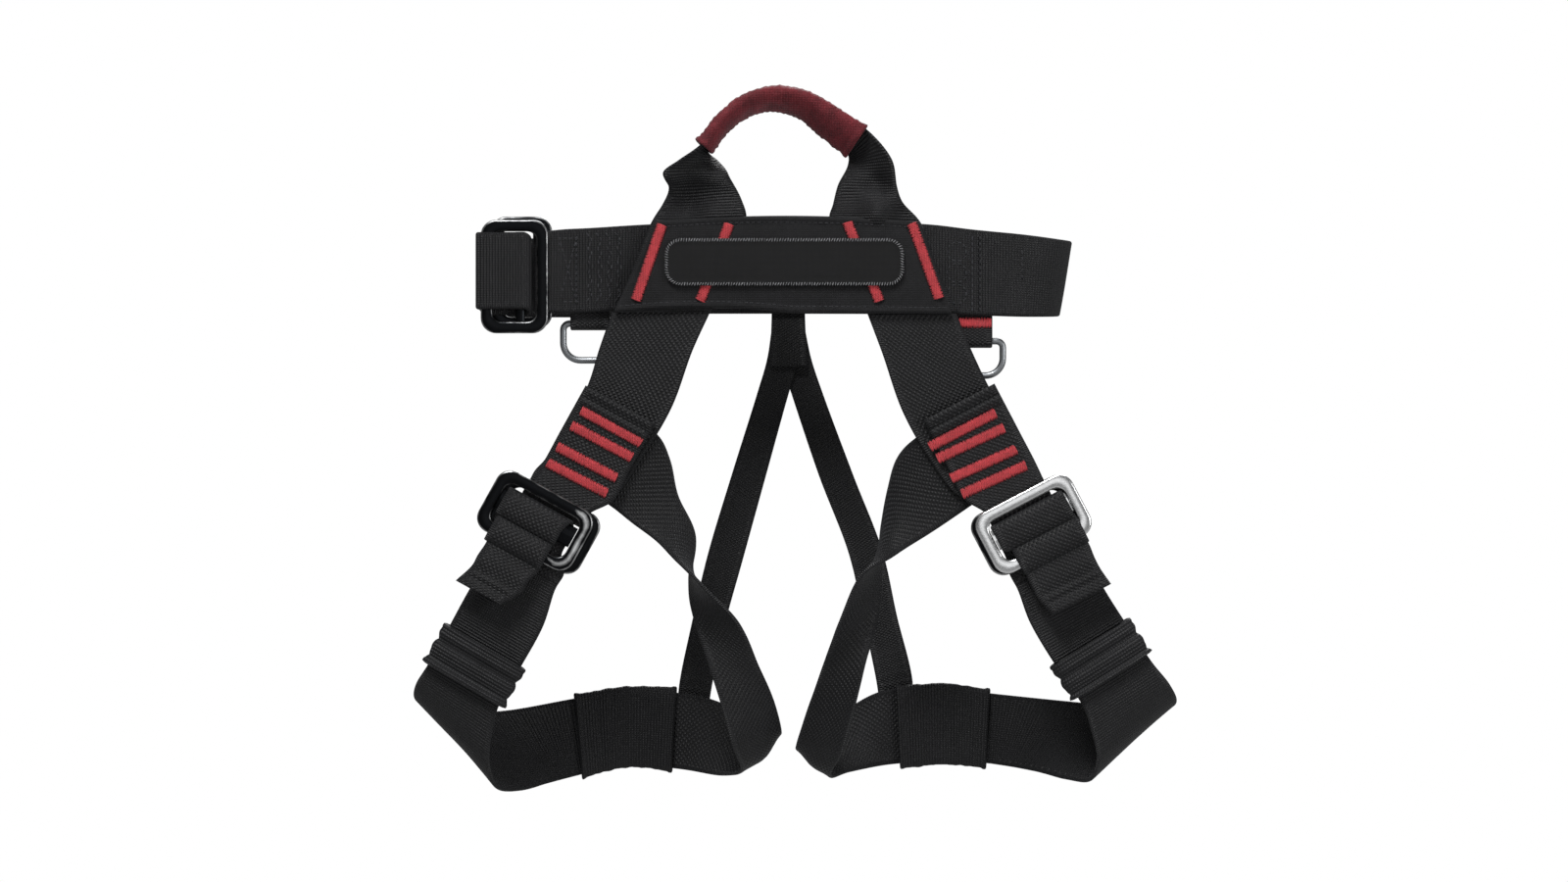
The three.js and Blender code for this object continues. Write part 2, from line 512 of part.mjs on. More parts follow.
// Edge stations of each leg's straps, outer edge first. The two legs are sewn alike but
// hang a little differently. Inside a buckle's own frame, x runs along the buckle, y to
// the back and z up along the strap.
const legs = {
  left: {
    buckle: { x: -129.6, z: -214.2, tilt: 29, material: BLACK_STEEL },
    frameShift: 1,
    plateShift: -3,
    flap: [6.6, 41.6],
    fold: [2, 36],
    web: [[4.5, 38], [-2.6, 40.4], [-5.6, 35], [-5, 33]],
    tail: [[-4.2, 31], [-5.5, 29.5], [-10.3, 27]],
    tailEndZ: -47,
    upper: [
      [[-92.6, 0, -106.6], [-41.6, 0, -106.6]],
      [[-99, 0, -123], [-50.6, 0, -124.5]],
      [[-105.4, 0, -143], [-61.4, 0, -154]],
      [[-117, 0, -163.6], [-77, 0, -180.6]],
      [[-127.4, 0, -181], [-90.6, 0, -200]],
    ],
    tacks: [
      [[-108.1, -155.8], [-77.6, -172.4]],
      [[-113.2, -163.6], [-82.4, -180]],
      [[-120.6, -174.6], [-90.4, -190.6]],
      [[-125.6, -183], [-95.4, -198.6]],
    ],
    inner: [
      [[-105, 2.9, -148.4], [-127.8, 2.9, -184.4]],
      [[-69.4, 2.9, -167.6], [-94, 2.9, -205]],
      [[-62.4, 5, -181], [-82.5, 2.6, -214]],
      [[-58.6, 10, -200], [-70, 0, -223.4]],
      [[-50.4, 17, -221], [-58.6, -6, -235]],
      [[-53, 20, -243], [-43.6, -8, -249]],
      [[-51, 15, -263], [-27, -2, -266]],
      [[-42, 6, -289], [-15.6, 12, -290]],
      [[-35, 4, -310], [-8, 24, -308]],
      [[-29.6, 10, -331], [-4.4, 33, -324]],
      [[-25.6, 25, -344.6], [-6.4, 44, -325]],
      [[-36, 42, -348.4], [-21, 50.6, -317]],
      [[-56, 52.6, -346], [-49, 53.4, -306.6]],
      [[-87, 54, -342.6], [-87, 54, -304.4]],
    ],
    lower: [
      [[-152.9, -2.6, -228.4], [-117.6, -2.6, -248]],
      [[-166, 0, -247.4], [-128.4, 0, -268]],
      [[-179, 1.6, -271], [-142, 1.6, -292.6]],
      [[-188.6, 3.4, -288], [-151.6, 3.4, -309.6]],
      [[-195, 8, -298], [-155.6, 7, -325]],
      [[-196.6, 18, -305.4], [-157, 12, -341]],
      [[-190.6, 30, -309.6], [-153, 22, -353.6]],
      [[-176, 39.6, -313], [-142, 34, -355.8]],
      [[-154.6, 46, -314.6], [-127, 45, -352.4]],
      [[-113, 52.6, -308], [-108.6, 52.6, -348]],
      [[-87.8, 54, -304.4], [-87.8, 54, -342.6]],
    ],
    keeper: [
      [[-177.2, 1.4, -267.8], [-140.2, 1.4, -289.4]],
      [[-188.2, 3.2, -287.2], [-151.2, 3.2, -308.8]],
    ],
    thighSleeve: [
      [[-114, 52.4, -308.2], [-110, 52.4, -348.4]],
      [[-87.4, 54, -304.4], [-87.4, 54, -342.6]],
      [[-60.4, 53.7, -304.6], [-62.6, 53.4, -344.6]],
    ],
    rear: [
      [[-17.2, REAR_Y + 0.6, -146], [-0.4, REAR_Y + 0.6, -146]],
      [[-31, 56.5, -190], [-12.6, 56.5, -190]],
      [[-43.6, 57.4, -232], [-25, 57.4, -235]],
      [[-52, 57.8, -268], [-34.6, 57.8, -270]],
      [[-59, 57.6, -303], [-42, 57.6, -306]],
      [[-59.6, 57.6, -322], [-44, 57.6, -324]],
    ],
  },
  right: {
    buckle: { x: 126.5, z: -214.6, tilt: -27.6, material: BRIGHT_STEEL },
    frameShift: -2.4,
    plateShift: 0,
    flap: [-5, 42],
    fold: [-2, 35],
    web: [[-3, 40], [0, 41.6], [0.2, 41.6], [2.6, 38]],
    tail: [[2.4, 36.6], [2, 36], [3.9, 34.6]],
    tailEndZ: -46,
    upper: [
      [[86.6, 0, -106.6], [40.2, 0, -106.6]],
      [[94, 0, -123], [48, 0, -125.5]],
      [[104, 0, -144], [58.6, 0, -156]],
      [[115.4, 0, -163.6], [73, 0, -181.6]],
      [[124.4, 0, -179.6], [87, 0, -199.6]],
    ],
    tacks: [
      [[73, -174.5], [106.6, -157.1]],
      [[77, -180.6], [111, -164.8]],
      [[84.2, -190.8], [117.3, -176]],
      [[89.8, -199], [122.4, -184.2]],
    ],
    inner: [
      [[101, 2.9, -151.4], [121.6, 2.9, -186]],
      [[65.4, 2.9, -170], [90.4, 2.9, -208]],
      [[56, 6, -180], [74, 2.6, -219]],
      [[51, 12, -196], [60.6, -1, -227]],
      [[47.4, 18, -219], [52, -7, -232]],
      [[48, 20, -241], [37, -8, -241]],
      [[46, 15, -262], [25, -2, -266]],
      [[39.4, 6, -289], [16.6, 12, -291]],
      [[33.6, 4, -313], [9.6, 24, -313]],
      [[27.6, 10, -334], [4.6, 33, -330]],
      [[22, 25, -346.6], [6.2, 44, -333]],
      [[32, 42, -346.4], [22, 50.6, -320]],
      [[52, 52.6, -343.4], [48, 53.4, -304.6]],
      [[82, 54, -341], [82, 54, -302.6]],
    ],
    lower: [
      [[151.4, -2.6, -228.2], [112.6, -2.6, -248.4]],
      [[162.8, 0, -247], [125, 0, -266]],
      [[176.4, 1.6, -268.4], [140, 1.6, -291]],
      [[189, 3.4, -287], [152.6, 3.4, -309.6]],
      [[198, 8, -298], [157.6, 7, -324]],
      [[202.6, 18, -307.4], [160.6, 12, -337.6]],
      [[198, 30, -311], [157, 22, -349.6]],
      [[184, 39.6, -312.6], [146, 34, -350]],
      [[160, 46, -310.6], [130, 45, -346.4]],
      [[108, 52.6, -305.6], [105, 52.6, -342.6]],
      [[82.8, 54, -302.6], [82.8, 54, -341]],
    ],
    keeper: [
      [[174.4, 1.4, -265.2], [138, 1.4, -287.8]],
      [[185.6, 3, -282.2], [149.2, 3, -304.8]],
    ],
    thighSleeve: [
      [[106, 52.5, -305.6], [104, 52.5, -342.8]],
      [[82.4, 54, -302.6], [82.4, 54, -341]],
      [[57, 53.7, -303.8], [59, 53.4, -343]],
    ],
    rear: [
      [[17.6, REAR_Y + 0.6, -146], [0.8, REAR_Y + 0.6, -146]],
      [[34, 56.5, -190], [15.6, 56.5, -190]],
      [[49.4, 57.4, -230], [31.6, 57.4, -232]],
      [[57, 57.8, -264], [39.6, 57.8, -268]],
      [[65.6, 58.8, -301], [47, 58.8, -305]],
      [[64, 58.8, -320], [48, 58.8, -322]],
    ],
  },
};

const FLAP_Y = PANEL_BACK - WEB / 2 - 0.2;
const LEG_FRAME_Y = -0.8;
const LEG_FOLD = STEEL / 2 + GAP + WEB / 2;
const LEG_PLATE_Y = LEG_FRAME_Y - STEEL / 2 - GAP - WEB - GAP - STEEL / 2;
const FRAME_RAIL_Z = BUCKLE_SHORT / 2 - RAIL; // inner edge of the upper and lower rails
const OVER_BAR = STEEL / 2 + GAP + WEB / 2;
const LEG_BAR_Z = 1.5; // how far the bar's middle is above the buckle's
const ROUND_BAR = LEG_BAR / 2 + GAP + WEB / 2;
const BEHIND_RAIL_Y = LEG_PLATE_Y + STEEL / 2 + GAP + WEB / 2;
const OVER_RAIL_Y = LEG_PLATE_Y - STEEL / 2 - GAP - WEB / 2;
const FLAP_TOP_Z = 72;
const TAIL_Y = OVER_RAIL_Y + 0.6;
const TAIL_TOP_Z = -22.5;

// Moves stations out of a buckle's own frame into the saddle's.
function placed(stations, { x, z, tilt }) {
  const turn = new THREE.Matrix4().makeRotationY(THREE.MathUtils.degToRad(tilt)).setPosition(x, 0, z);
  return stations.map((station) => station.map((point) => vector(point).applyMatrix4(turn).toArray()));
}

// The upper strap runs down to the buckle frame, round its upper rail and back up the front,
// where its end is tacked down.
function upperStrapStations({ upper, buckle, flap, fold }) {
  const round = arc(LEG_FRAME_Y, FRAME_RAIL_Z, LEG_FOLD, 0, -180, 6);
  const [near, far] = upper[0][0][0] < upper[0][1][0] ? [0, 1] : [1, 0];
  const turned = [
    crossStation(...fold, 0, FRAME_RAIL_Z + 11),
    crossStation(...fold, LEG_FRAME_Y + LEG_FOLD, FRAME_RAIL_Z + 6),
    ...round.map(([y, z]) => crossStation(...fold, y, z)),
    crossStation(...fold, LEG_FRAME_Y - LEG_FOLD, FRAME_RAIL_Z + 5),
    crossStation(...flap, FLAP_Y, FRAME_RAIL_Z + 17),
    crossStation(...flap, FLAP_Y, FLAP_TOP_Z),
  ];
  const ordered = turned.map((station) => [station[near], station[far]]);
  return [...upper, ...placed(ordered, buckle)];
}

// Rounds the first stations of a strap into a smooth curve and keeps the rest straight.
function eased(stations, count, steps = 3) {
  const edges = [0, 1].map((edge) => {
    const points = stations.slice(0, count).map((station) => vector(station[edge]));
    return new THREE.CatmullRomCurve3(points, false, "centripetal").getPoints((count - 1) * steps);
  });
  const smooth = edges[0].map((point, index) => [point.toArray(), edges[1][index].toArray()]);
  return [...smooth, ...stations.slice(count)];
}

// The adjusting end of the lower strap: up behind the plate's lower rail, over the bar and
// down the front of the rail.
function legAdjusterStations({ web }) {
  const [entry, behind, over, front] = web;
  const round = arc(0, 0, 1, 0, 180, 8).map(([y, z], step, all) => {
    const share = step / (all.length - 1);
    const [middle, width] = behind.map((value, index) => THREE.MathUtils.lerp(value, over[index], share));
    return crossStation(middle, width, LEG_PLATE_Y + y * OVER_BAR, LEG_BAR_Z + z * ROUND_BAR);
  });
  return [
    crossStation(...entry, BEHIND_RAIL_Y + 0.4, -21.8),
    crossStation(...entry, BEHIND_RAIL_Y, -17),
    crossStation(...behind, BEHIND_RAIL_Y, -9),
    ...round,
    crossStation(...over, OVER_RAIL_Y, -2.6),
    crossStation(...front, OVER_RAIL_Y + 1.2, -6.8),
    crossStation(...front, OVER_RAIL_Y - 0.4, -10.4),
    crossStation(...front, OVER_RAIL_Y - 0.8, -14.5),
    crossStation(...front, OVER_RAIL_Y - 0.3, -18.6),
    crossStation(...front, OVER_RAIL_Y + 0.6, -22),
  ];
}

for (const [name, leg] of Object.entries(legs)) {
  const { x, z, tilt, material } = leg.buckle;
  const upper = eased(upperStrapStations(leg), leg.upper.length);
  add(`${name}_upper_leg_strap`, foldedStrap(upper, WEB), BLACK_WEBBING);
  leg.tacks.forEach(([start, end], index) => {
    add(`${name}_leg_tack_${index + 1}`, barTack(start, end, FLAP_Y - WEB / 2 - GAP), RED_THREAD);
  });
  add(`${name}_inner_leg_strap`, strap(leg.inner, WEB, 3), BLACK_WEBBING);
  add(`${name}_lower_leg_strap`, strap(leg.lower, WEB, 3), BLACK_WEBBING);
  add(`${name}_thigh_sleeve`, sleeve(leg.thighSleeve, THIGH_SLEEVE), COVER_CLOTH);
  add(`${name}_keeper`, sleeve(leg.keeper, KEEPER), ELASTIC);
  add(`${name}_rear_strap`, strap(leg.rear, NARROW_WEB, 2), NARROW_WEBBING);

  const buckle = new THREE.Group();
  buckle.position.set(x, 0, z);
  buckle.rotation.y = THREE.MathUtils.degToRad(tilt);
  saddle.add(buckle);
  const frame = buckleFrame(BUCKLE_LONG, BUCKLE_SHORT).translate(leg.frameShift, LEG_FRAME_Y, 0);
  add(`${name}_leg_buckle_frame`, frame, BLACK_STEEL, buckle);
  const plate = buckleFrame(BUCKLE_LONG, BUCKLE_SHORT).translate(leg.plateShift, LEG_PLATE_Y, 0);
  add(`${name}_leg_buckle_plate`, plate, material, buckle);
  const bar = crossBar(BUCKLE_LONG - 2 * RAIL - 2 * GAP, LEG_BAR);
  bar.translate(leg.plateShift, LEG_PLATE_Y, LEG_BAR_Z);
  add(`${name}_leg_buckle_bar`, bar, material, buckle);
  add(`${name}_leg_adjuster_web`, foldedStrap(legAdjusterStations(leg), WEB), BLACK_WEBBING, buckle);
  const tail = [
    crossStation(...leg.tail[0], TAIL_Y, TAIL_TOP_Z),
    crossStation(...leg.tail[1], TAIL_Y + 0.4, (TAIL_TOP_Z + leg.tailEndZ) / 2),
    crossStation(...leg.tail[2], TAIL_Y + 0.8, leg.tailEndZ),
  ];
  add(`${name}_leg_strap_tail`, foldedStrap(tail, WEB), BLACK_WEBBING, buckle);
}

export default saddle;
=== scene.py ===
"""Tree climbing saddle: the looks of its webbing, cloth, thread and steel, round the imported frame."""
import math

import bpy
from mathutils import Matrix, Vector, noise


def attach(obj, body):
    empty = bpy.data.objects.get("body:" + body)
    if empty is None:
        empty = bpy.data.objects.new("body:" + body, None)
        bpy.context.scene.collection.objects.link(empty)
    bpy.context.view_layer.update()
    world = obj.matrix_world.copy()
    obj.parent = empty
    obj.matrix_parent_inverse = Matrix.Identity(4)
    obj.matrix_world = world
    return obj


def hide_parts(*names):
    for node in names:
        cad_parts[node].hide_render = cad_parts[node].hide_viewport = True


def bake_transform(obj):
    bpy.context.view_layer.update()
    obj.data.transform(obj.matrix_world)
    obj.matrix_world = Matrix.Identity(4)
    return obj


bl_info = {
    "name": "Tree climbing saddle",
    "version": (1, 0, 0),
    "blender": (4, 5, 0),
    "location": "View3D > Sidebar > Saddle",
    "description": "Builds a half-body harness of flat webbing with its buckles, sleeves and stitching",
    "category": "Add Mesh",
}

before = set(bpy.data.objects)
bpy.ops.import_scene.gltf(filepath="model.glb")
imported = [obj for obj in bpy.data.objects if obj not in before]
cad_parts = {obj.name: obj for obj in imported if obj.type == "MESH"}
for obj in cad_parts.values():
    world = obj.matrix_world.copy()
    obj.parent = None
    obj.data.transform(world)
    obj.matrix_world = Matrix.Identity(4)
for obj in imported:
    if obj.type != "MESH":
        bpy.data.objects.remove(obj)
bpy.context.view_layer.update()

# Lengths are millimetres until a mesh is made. X is to the right seen from the front, Y to
# the back and Z up; the origin is under the top of the tie-in loop.
MM = 0.001
FRONT, BACK = -1, 1

WEB = 2.0  # leg webbing
BELT = 2.2  # waist webbing
NARROW_WEB = 1.5  # 20 mm webbing
GAP = 0.3  # between layers pressed together

# Middle planes of the layers along Y
BELT_Y = WEB / 2 + GAP + BELT / 2
PANEL_FRONT = -3.8
PANEL_BACK = -1.3
LABEL_FRONT = -6.4
LABEL_BACK = -5.1
TACK_Y = -4.3
BACK_RUN_Y = 52
REAR_Y = BACK_RUN_Y + BELT / 2 + GAP + NARROW_WEB / 2

# Pressed steel buckles
STEEL = 3.0
RAIL = 6.0
LEG_BUCKLE = (56, 35)
WAIST_PLATE = (35, 59)
WAIST_FRAME = (32, 58.4)
BUCKLE_CORNER = 8
RING_WIRE = 3.5
WAIST_PLATE_Z = -86
WAIST_FRAME_Z = -83.8

# Sizes of the patterns on the cloths
CORD_PITCH = 1.1  # of the cords in a webbing's selvedge
FUZZ = 0.9  # loose fibres, drawn coarser than real so that they show
WEAR = 22  # patches where the webbing has rubbed paler
PLY_PITCH = 0.7  # of the twist in sewing thread
SCRATCH = 0.5
RUB = 9  # patches of bare steel along the edges, partly rubbed plating and partly a painted highlight
ROUGHEST = 0.6  # how much finer grains add to every noise


# ---------------------------------------------------------------- colours and materials


def linear(code):
    """The linear colour of an sRGB hex code."""
    values = [int(code[at:at + 2], 16) / 255 for at in (1, 3, 5)]
    return tuple(v / 12.92 if v <= 0.04045 else ((v + 0.055) / 1.055) ** 2.4 for v in values)


def shade(colour, share=1.0):
    """A linear colour made darker or lighter, with its alpha."""
    return (*(min(1.0, value * share) for value in colour), 1.0)


def node(tree, kind, links=None, stops=(), **settings):
    """Adds a node with its settings. An input is given as a value, or as a node or a socket to
    link it to; a colour ramp is given its stops as places and colours."""
    made = tree.nodes.new(kind)
    for name, value in settings.items():
        setattr(made, name, value)
    for socket, value in (links or {}).items():
        if isinstance(value, bpy.types.Node):
            value = value.outputs[0]
        if isinstance(value, bpy.types.NodeSocket):
            tree.links.new(value, made.inputs[socket])
        else:
            made.inputs[socket].default_value = value
    for index, (place, colour) in enumerate(stops):
        elements = made.color_ramp.elements
        element = elements[index] if index < 2 else elements.new(place)
        element.position = place
        element.color = colour
    return made


def new_material(name):
    """An empty material, with its node tree and output."""
    material = bpy.data.materials.new(name)
    material.use_nodes = True
    material.node_tree.nodes.clear()
    return material, material.node_tree, node(material.node_tree, "ShaderNodeOutputMaterial")


def weave(tree, surface, pitch, turn=0.0, distortion=0.5):
    """Yarns side by side at a pitch in millimetres, turned by an angle in degrees."""
    turned = node(tree, "ShaderNodeMapping", {
        "Vector": surface, "Rotation": (0, 0, math.radians(turn)),
    })
    return node(tree, "ShaderNodeTexWave", {
        "Vector": turned,
        "Scale": 2 * math.pi / (20 * pitch * MM),
        "Distortion": distortion,
        "Detail": 1.0,
        "Detail Scale": 2.0,
    }, wave_type="BANDS", bands_direction="X").outputs["Fac"]


def cloth_surface(tree, output, colour, height, depth, roughness, sheen):
    """A matt fibre surface with a relief of a depth in millimetres, whose nap catches light."""
    bump = node(tree, "ShaderNodeBump", {"Height": height, "Distance": depth * MM, "Strength": 1.0})
    shader = node(tree, "ShaderNodeBsdfPrincipled", {
        "Base Color": colour,
        "Roughness": roughness,
        "Specular IOR Level": 0.3,
        "Sheen Weight": sheen,
        "Sheen Roughness": 0.45,
        "Sheen Tint": shade(linear("#c8ccd4")),
        "Normal": bump,
    })
    tree.links.new(shader.outputs[0], output.inputs["Surface"])


def webbing(name, colour, shades, pitch, diamond, sheen):
    """Woven polyester webbing: a lattice or ribs of yarn, with a firm selvedge along both edges.
    The shades are shares of the colour for the gaps, the middle and the top of the yarn: painted shade
    in the gaps and a painted highlight on the yarn tops."""
    material, tree, output = new_material(name)
    surface = node(tree, "ShaderNodeUVMap", uv_map="UVMap")
    if diamond:
        first = weave(tree, surface, pitch, diamond, 0.4)
        second = weave(tree, surface, pitch, -diamond, 0.4)
    else:
        first = weave(tree, surface, pitch, 0, 0.6)
        across = weave(tree, surface, pitch * 0.8, 90, 0.6)
        second = node(tree, "ShaderNodeMath", {0: across, 1: 0.5, 2: 0.5}, operation="MULTIPLY_ADD")
    yarn = node(tree, "ShaderNodeMath", {0: first, 1: second}, operation="MULTIPLY")
    edge = node(tree, "ShaderNodeAttribute", attribute_name="selvedge").outputs["Fac"]
    cords = weave(tree, surface, CORD_PITCH, 0, 0.3)
    woven = node(tree, "ShaderNodeMix", {0: edge, 2: yarn, 3: cords}, data_type="FLOAT")
    fuzz = node(tree, "ShaderNodeTexNoise", {
        "Vector": surface, "Scale": 1 / (FUZZ * MM), "Detail": 2.0, "Roughness": ROUGHEST,
    }).outputs["Fac"]
    wear = node(tree, "ShaderNodeTexNoise", {
        "Vector": surface, "Scale": 1 / (WEAR * MM), "Detail": 3.0, "Roughness": ROUGHEST,
    }).outputs["Fac"]
    tone = -0.25
    for part, share in ((wear, 0.5), (fuzz, 0.35), (woven, 0.5)):
        tone = node(tree, "ShaderNodeMath", {0: part, 1: share, 2: tone}, operation="MULTIPLY_ADD")
    # The colour follows the weave's height: painted shade in the gaps, a painted highlight on the yarn
    # tops; wear and fuzz vary it at random
    stops = [(place, shade(colour, share)) for place, share in zip((0.1, 0.5, 0.95), shades)]
    dye_and_painted_light = node(tree, "ShaderNodeValToRGB", {"Fac": tone}, stops)
    height = node(tree, "ShaderNodeMath", {0: fuzz, 1: 0.3, 2: woven}, operation="MULTIPLY_ADD")
    cloth_surface(tree, output, dye_and_painted_light, height, 0.5, 0.52, sheen)
    return material


def plain_cloth(name, colour, shades, pitch, crease, sheen, roughness):
    """Plain woven cloth: threads both ways at a pitch, with soft creases of a size in millimetres. The
    creases and the gaps between the threads are painted darker as shade.
    """
    material, tree, output = new_material(name)
    place = node(tree, "ShaderNodeTexCoord").outputs["Object"]
    flat = node(tree, "ShaderNodeMapping", {"Vector": place, "Rotation": (math.radians(90), 0, 0)})
    warp, weft = weave(tree, flat, pitch, 0), weave(tree, flat, pitch, 90)
    threads = node(tree, "ShaderNodeMath", {0: warp, 1: weft}, operation="MULTIPLY")
    fold = node(tree, "ShaderNodeTexNoise", {
        "Vector": place, "Scale": 1 / (crease * MM), "Detail": 4.0, "Roughness": ROUGHEST,
    }).outputs["Fac"]
    fuzz = node(tree, "ShaderNodeTexNoise", {
        "Vector": place, "Scale": 1 / (0.8 * MM), "Detail": 2.0, "Roughness": ROUGHEST,
    }).outputs["Fac"]
    tone = 0.0
    for part, share in ((fuzz, 0.25), (fold, 0.5), (threads, 0.3)):
        tone = node(tree, "ShaderNodeMath", {0: part, 1: share, 2: tone}, operation="MULTIPLY_ADD")
    deep, raised = shades
    # The colour follows the creases and threads: painted shade where the cloth is low
    stops = [(0.25, shade(colour, deep)), (0.75, shade(colour, raised))]
    dye_and_painted_light = node(tree, "ShaderNodeValToRGB", {"Fac": tone}, stops)
    height = node(tree, "ShaderNodeMath", {0: fold, 1: 1.4, 2: threads}, operation="MULTIPLY_ADD")
    cloth_surface(tree, output, dye_and_painted_light, height, 0.3, roughness, sheen)
    return material


def spun_thread(name, colour, deep):
    """Bonded sewing thread: two plies twisted round each other, with a slight gloss. The grooves
    between the plies are painted darker as shade.
    """
    material, tree, output = new_material(name)
    place = node(tree, "ShaderNodeTexCoord").outputs["Object"]
    plies = weave(tree, place, PLY_PITCH, 35, 1.5)
    fading = node(tree, "ShaderNodeTexNoise", {
        "Vector": place, "Scale": 1 / (5 * MM), "Detail": 3.0, "Roughness": ROUGHEST,
    }).outputs["Fac"]
    faded = node(tree, "ShaderNodeMath", {0: fading, 1: 0.6}, operation="MULTIPLY")
    tone = node(tree, "ShaderNodeMath", {0: plies, 1: 0.4, 2: faded}, operation="MULTIPLY_ADD")
    # Painted shade in the grooves between the plies; the fading varies the tone at random
    stops = [(0.2, shade(colour, deep)), (0.75, shade(colour))]
    dye_and_painted_light = node(tree, "ShaderNodeValToRGB", {"Fac": tone}, stops)
    cloth_surface(tree, output, dye_and_painted_light, plies, 0.15, 0.55, 0.25)
    return material


def pressed_steel(name, plating, bare_and_highlight_colour, roughness, wear_and_highlight_level):
    """Pressed and plated steel, finely scratched, with bare steel colour along its edges: partly wear,
    partly a painted highlight.
    """
    material, tree, output = new_material(name)
    place = node(tree, "ShaderNodeTexCoord").outputs["Object"]
    edge = node(tree, "ShaderNodeAttribute", attribute_name="wear").outputs["Fac"]
    patches = node(tree, "ShaderNodeTexNoise", {
        "Vector": place, "Scale": 1 / (RUB * MM), "Detail": 4.0, "Roughness": ROUGHEST,
    }).outputs["Fac"]
    uneven = node(tree, "ShaderNodeMath", {0: patches, 1: 2.2}, operation="MULTIPLY")
    # Bare steel colour where the edges are marked: partly rubbed plating, partly a painted highlight
    wear_and_painted_highlight = node(tree, "ShaderNodeMath", {
        0: edge, 1: uneven, 2: wear_and_highlight_level - 1.0,
    }, operation="MULTIPLY_ADD", use_clamp=True)
    drawn_out = node(tree, "ShaderNodeMapping", {"Vector": place, "Scale": (0.15, 1, 1)})
    scratches = node(tree, "ShaderNodeTexNoise", {
        "Vector": drawn_out, "Scale": 1 / (SCRATCH * MM), "Detail": 2.0, "Roughness": ROUGHEST,
    }).outputs["Fac"]
    tint = node(tree, "ShaderNodeMix", {
        0: wear_and_painted_highlight, 6: shade(linear(plating)), 7: shade(linear(bare_and_highlight_colour)),
    }, data_type="RGBA")
    gloss = node(tree, "ShaderNodeMath", {
        0: scratches, 1: 0.18, 2: roughness,
    }, operation="MULTIPLY_ADD")
    bump = node(tree, "ShaderNodeBump", {"Height": scratches, "Distance": 0.02 * MM, "Strength": 0.6})
    shader = node(tree, "ShaderNodeBsdfPrincipled", {
        "Base Color": tint.outputs[2],
        "Metallic": 1.0,
        "Roughness": gloss,
        "Normal": bump,
    })
    tree.links.new(shader.outputs[0], output.inputs["Surface"])
    return material


# The backdrop is white to the eye, and lights the saddle more softly than it looks
BACKDROP_STRENGTH = 1.0
STUDIO_STRENGTH = 0.2


def backdrop_strength(tree):
    """The backdrop's strength: one for the camera and a softer one for the light it gives."""
    seen = node(tree, "ShaderNodeLightPath").outputs["Is Camera Ray"]
    strengths = {0: seen, 2: STUDIO_STRENGTH, 3: BACKDROP_STRENGTH}
    return node(tree, "ShaderNodeMix", strengths, data_type="FLOAT")


def floor_paint(name, code):
    """Matt pale floor, evenly lit, that turns into the brightness of the backdrop far out."""
    material, tree, output = new_material(name)
    place = node(tree, "ShaderNodeTexCoord").outputs["Object"]
    away = node(tree, "ShaderNodeVectorMath", {0: place}, operation="LENGTH").outputs["Value"]
    far = node(tree, "ShaderNodeMapRange", {
        "Value": away, "From Min": 0.3, "From Max": 2.2, "To Min": 0.55,
    })
    matt = node(tree, "ShaderNodeBsdfDiffuse", {"Color": shade(linear(code))})
    even = node(tree, "ShaderNodeEmission", {
        "Color": (1, 1, 1, 1), "Strength": backdrop_strength(tree),
    })
    mix = node(tree, "ShaderNodeMixShader", {0: far, 1: matt, 2: even})
    tree.links.new(mix.outputs[0], output.inputs["Surface"])
    return material


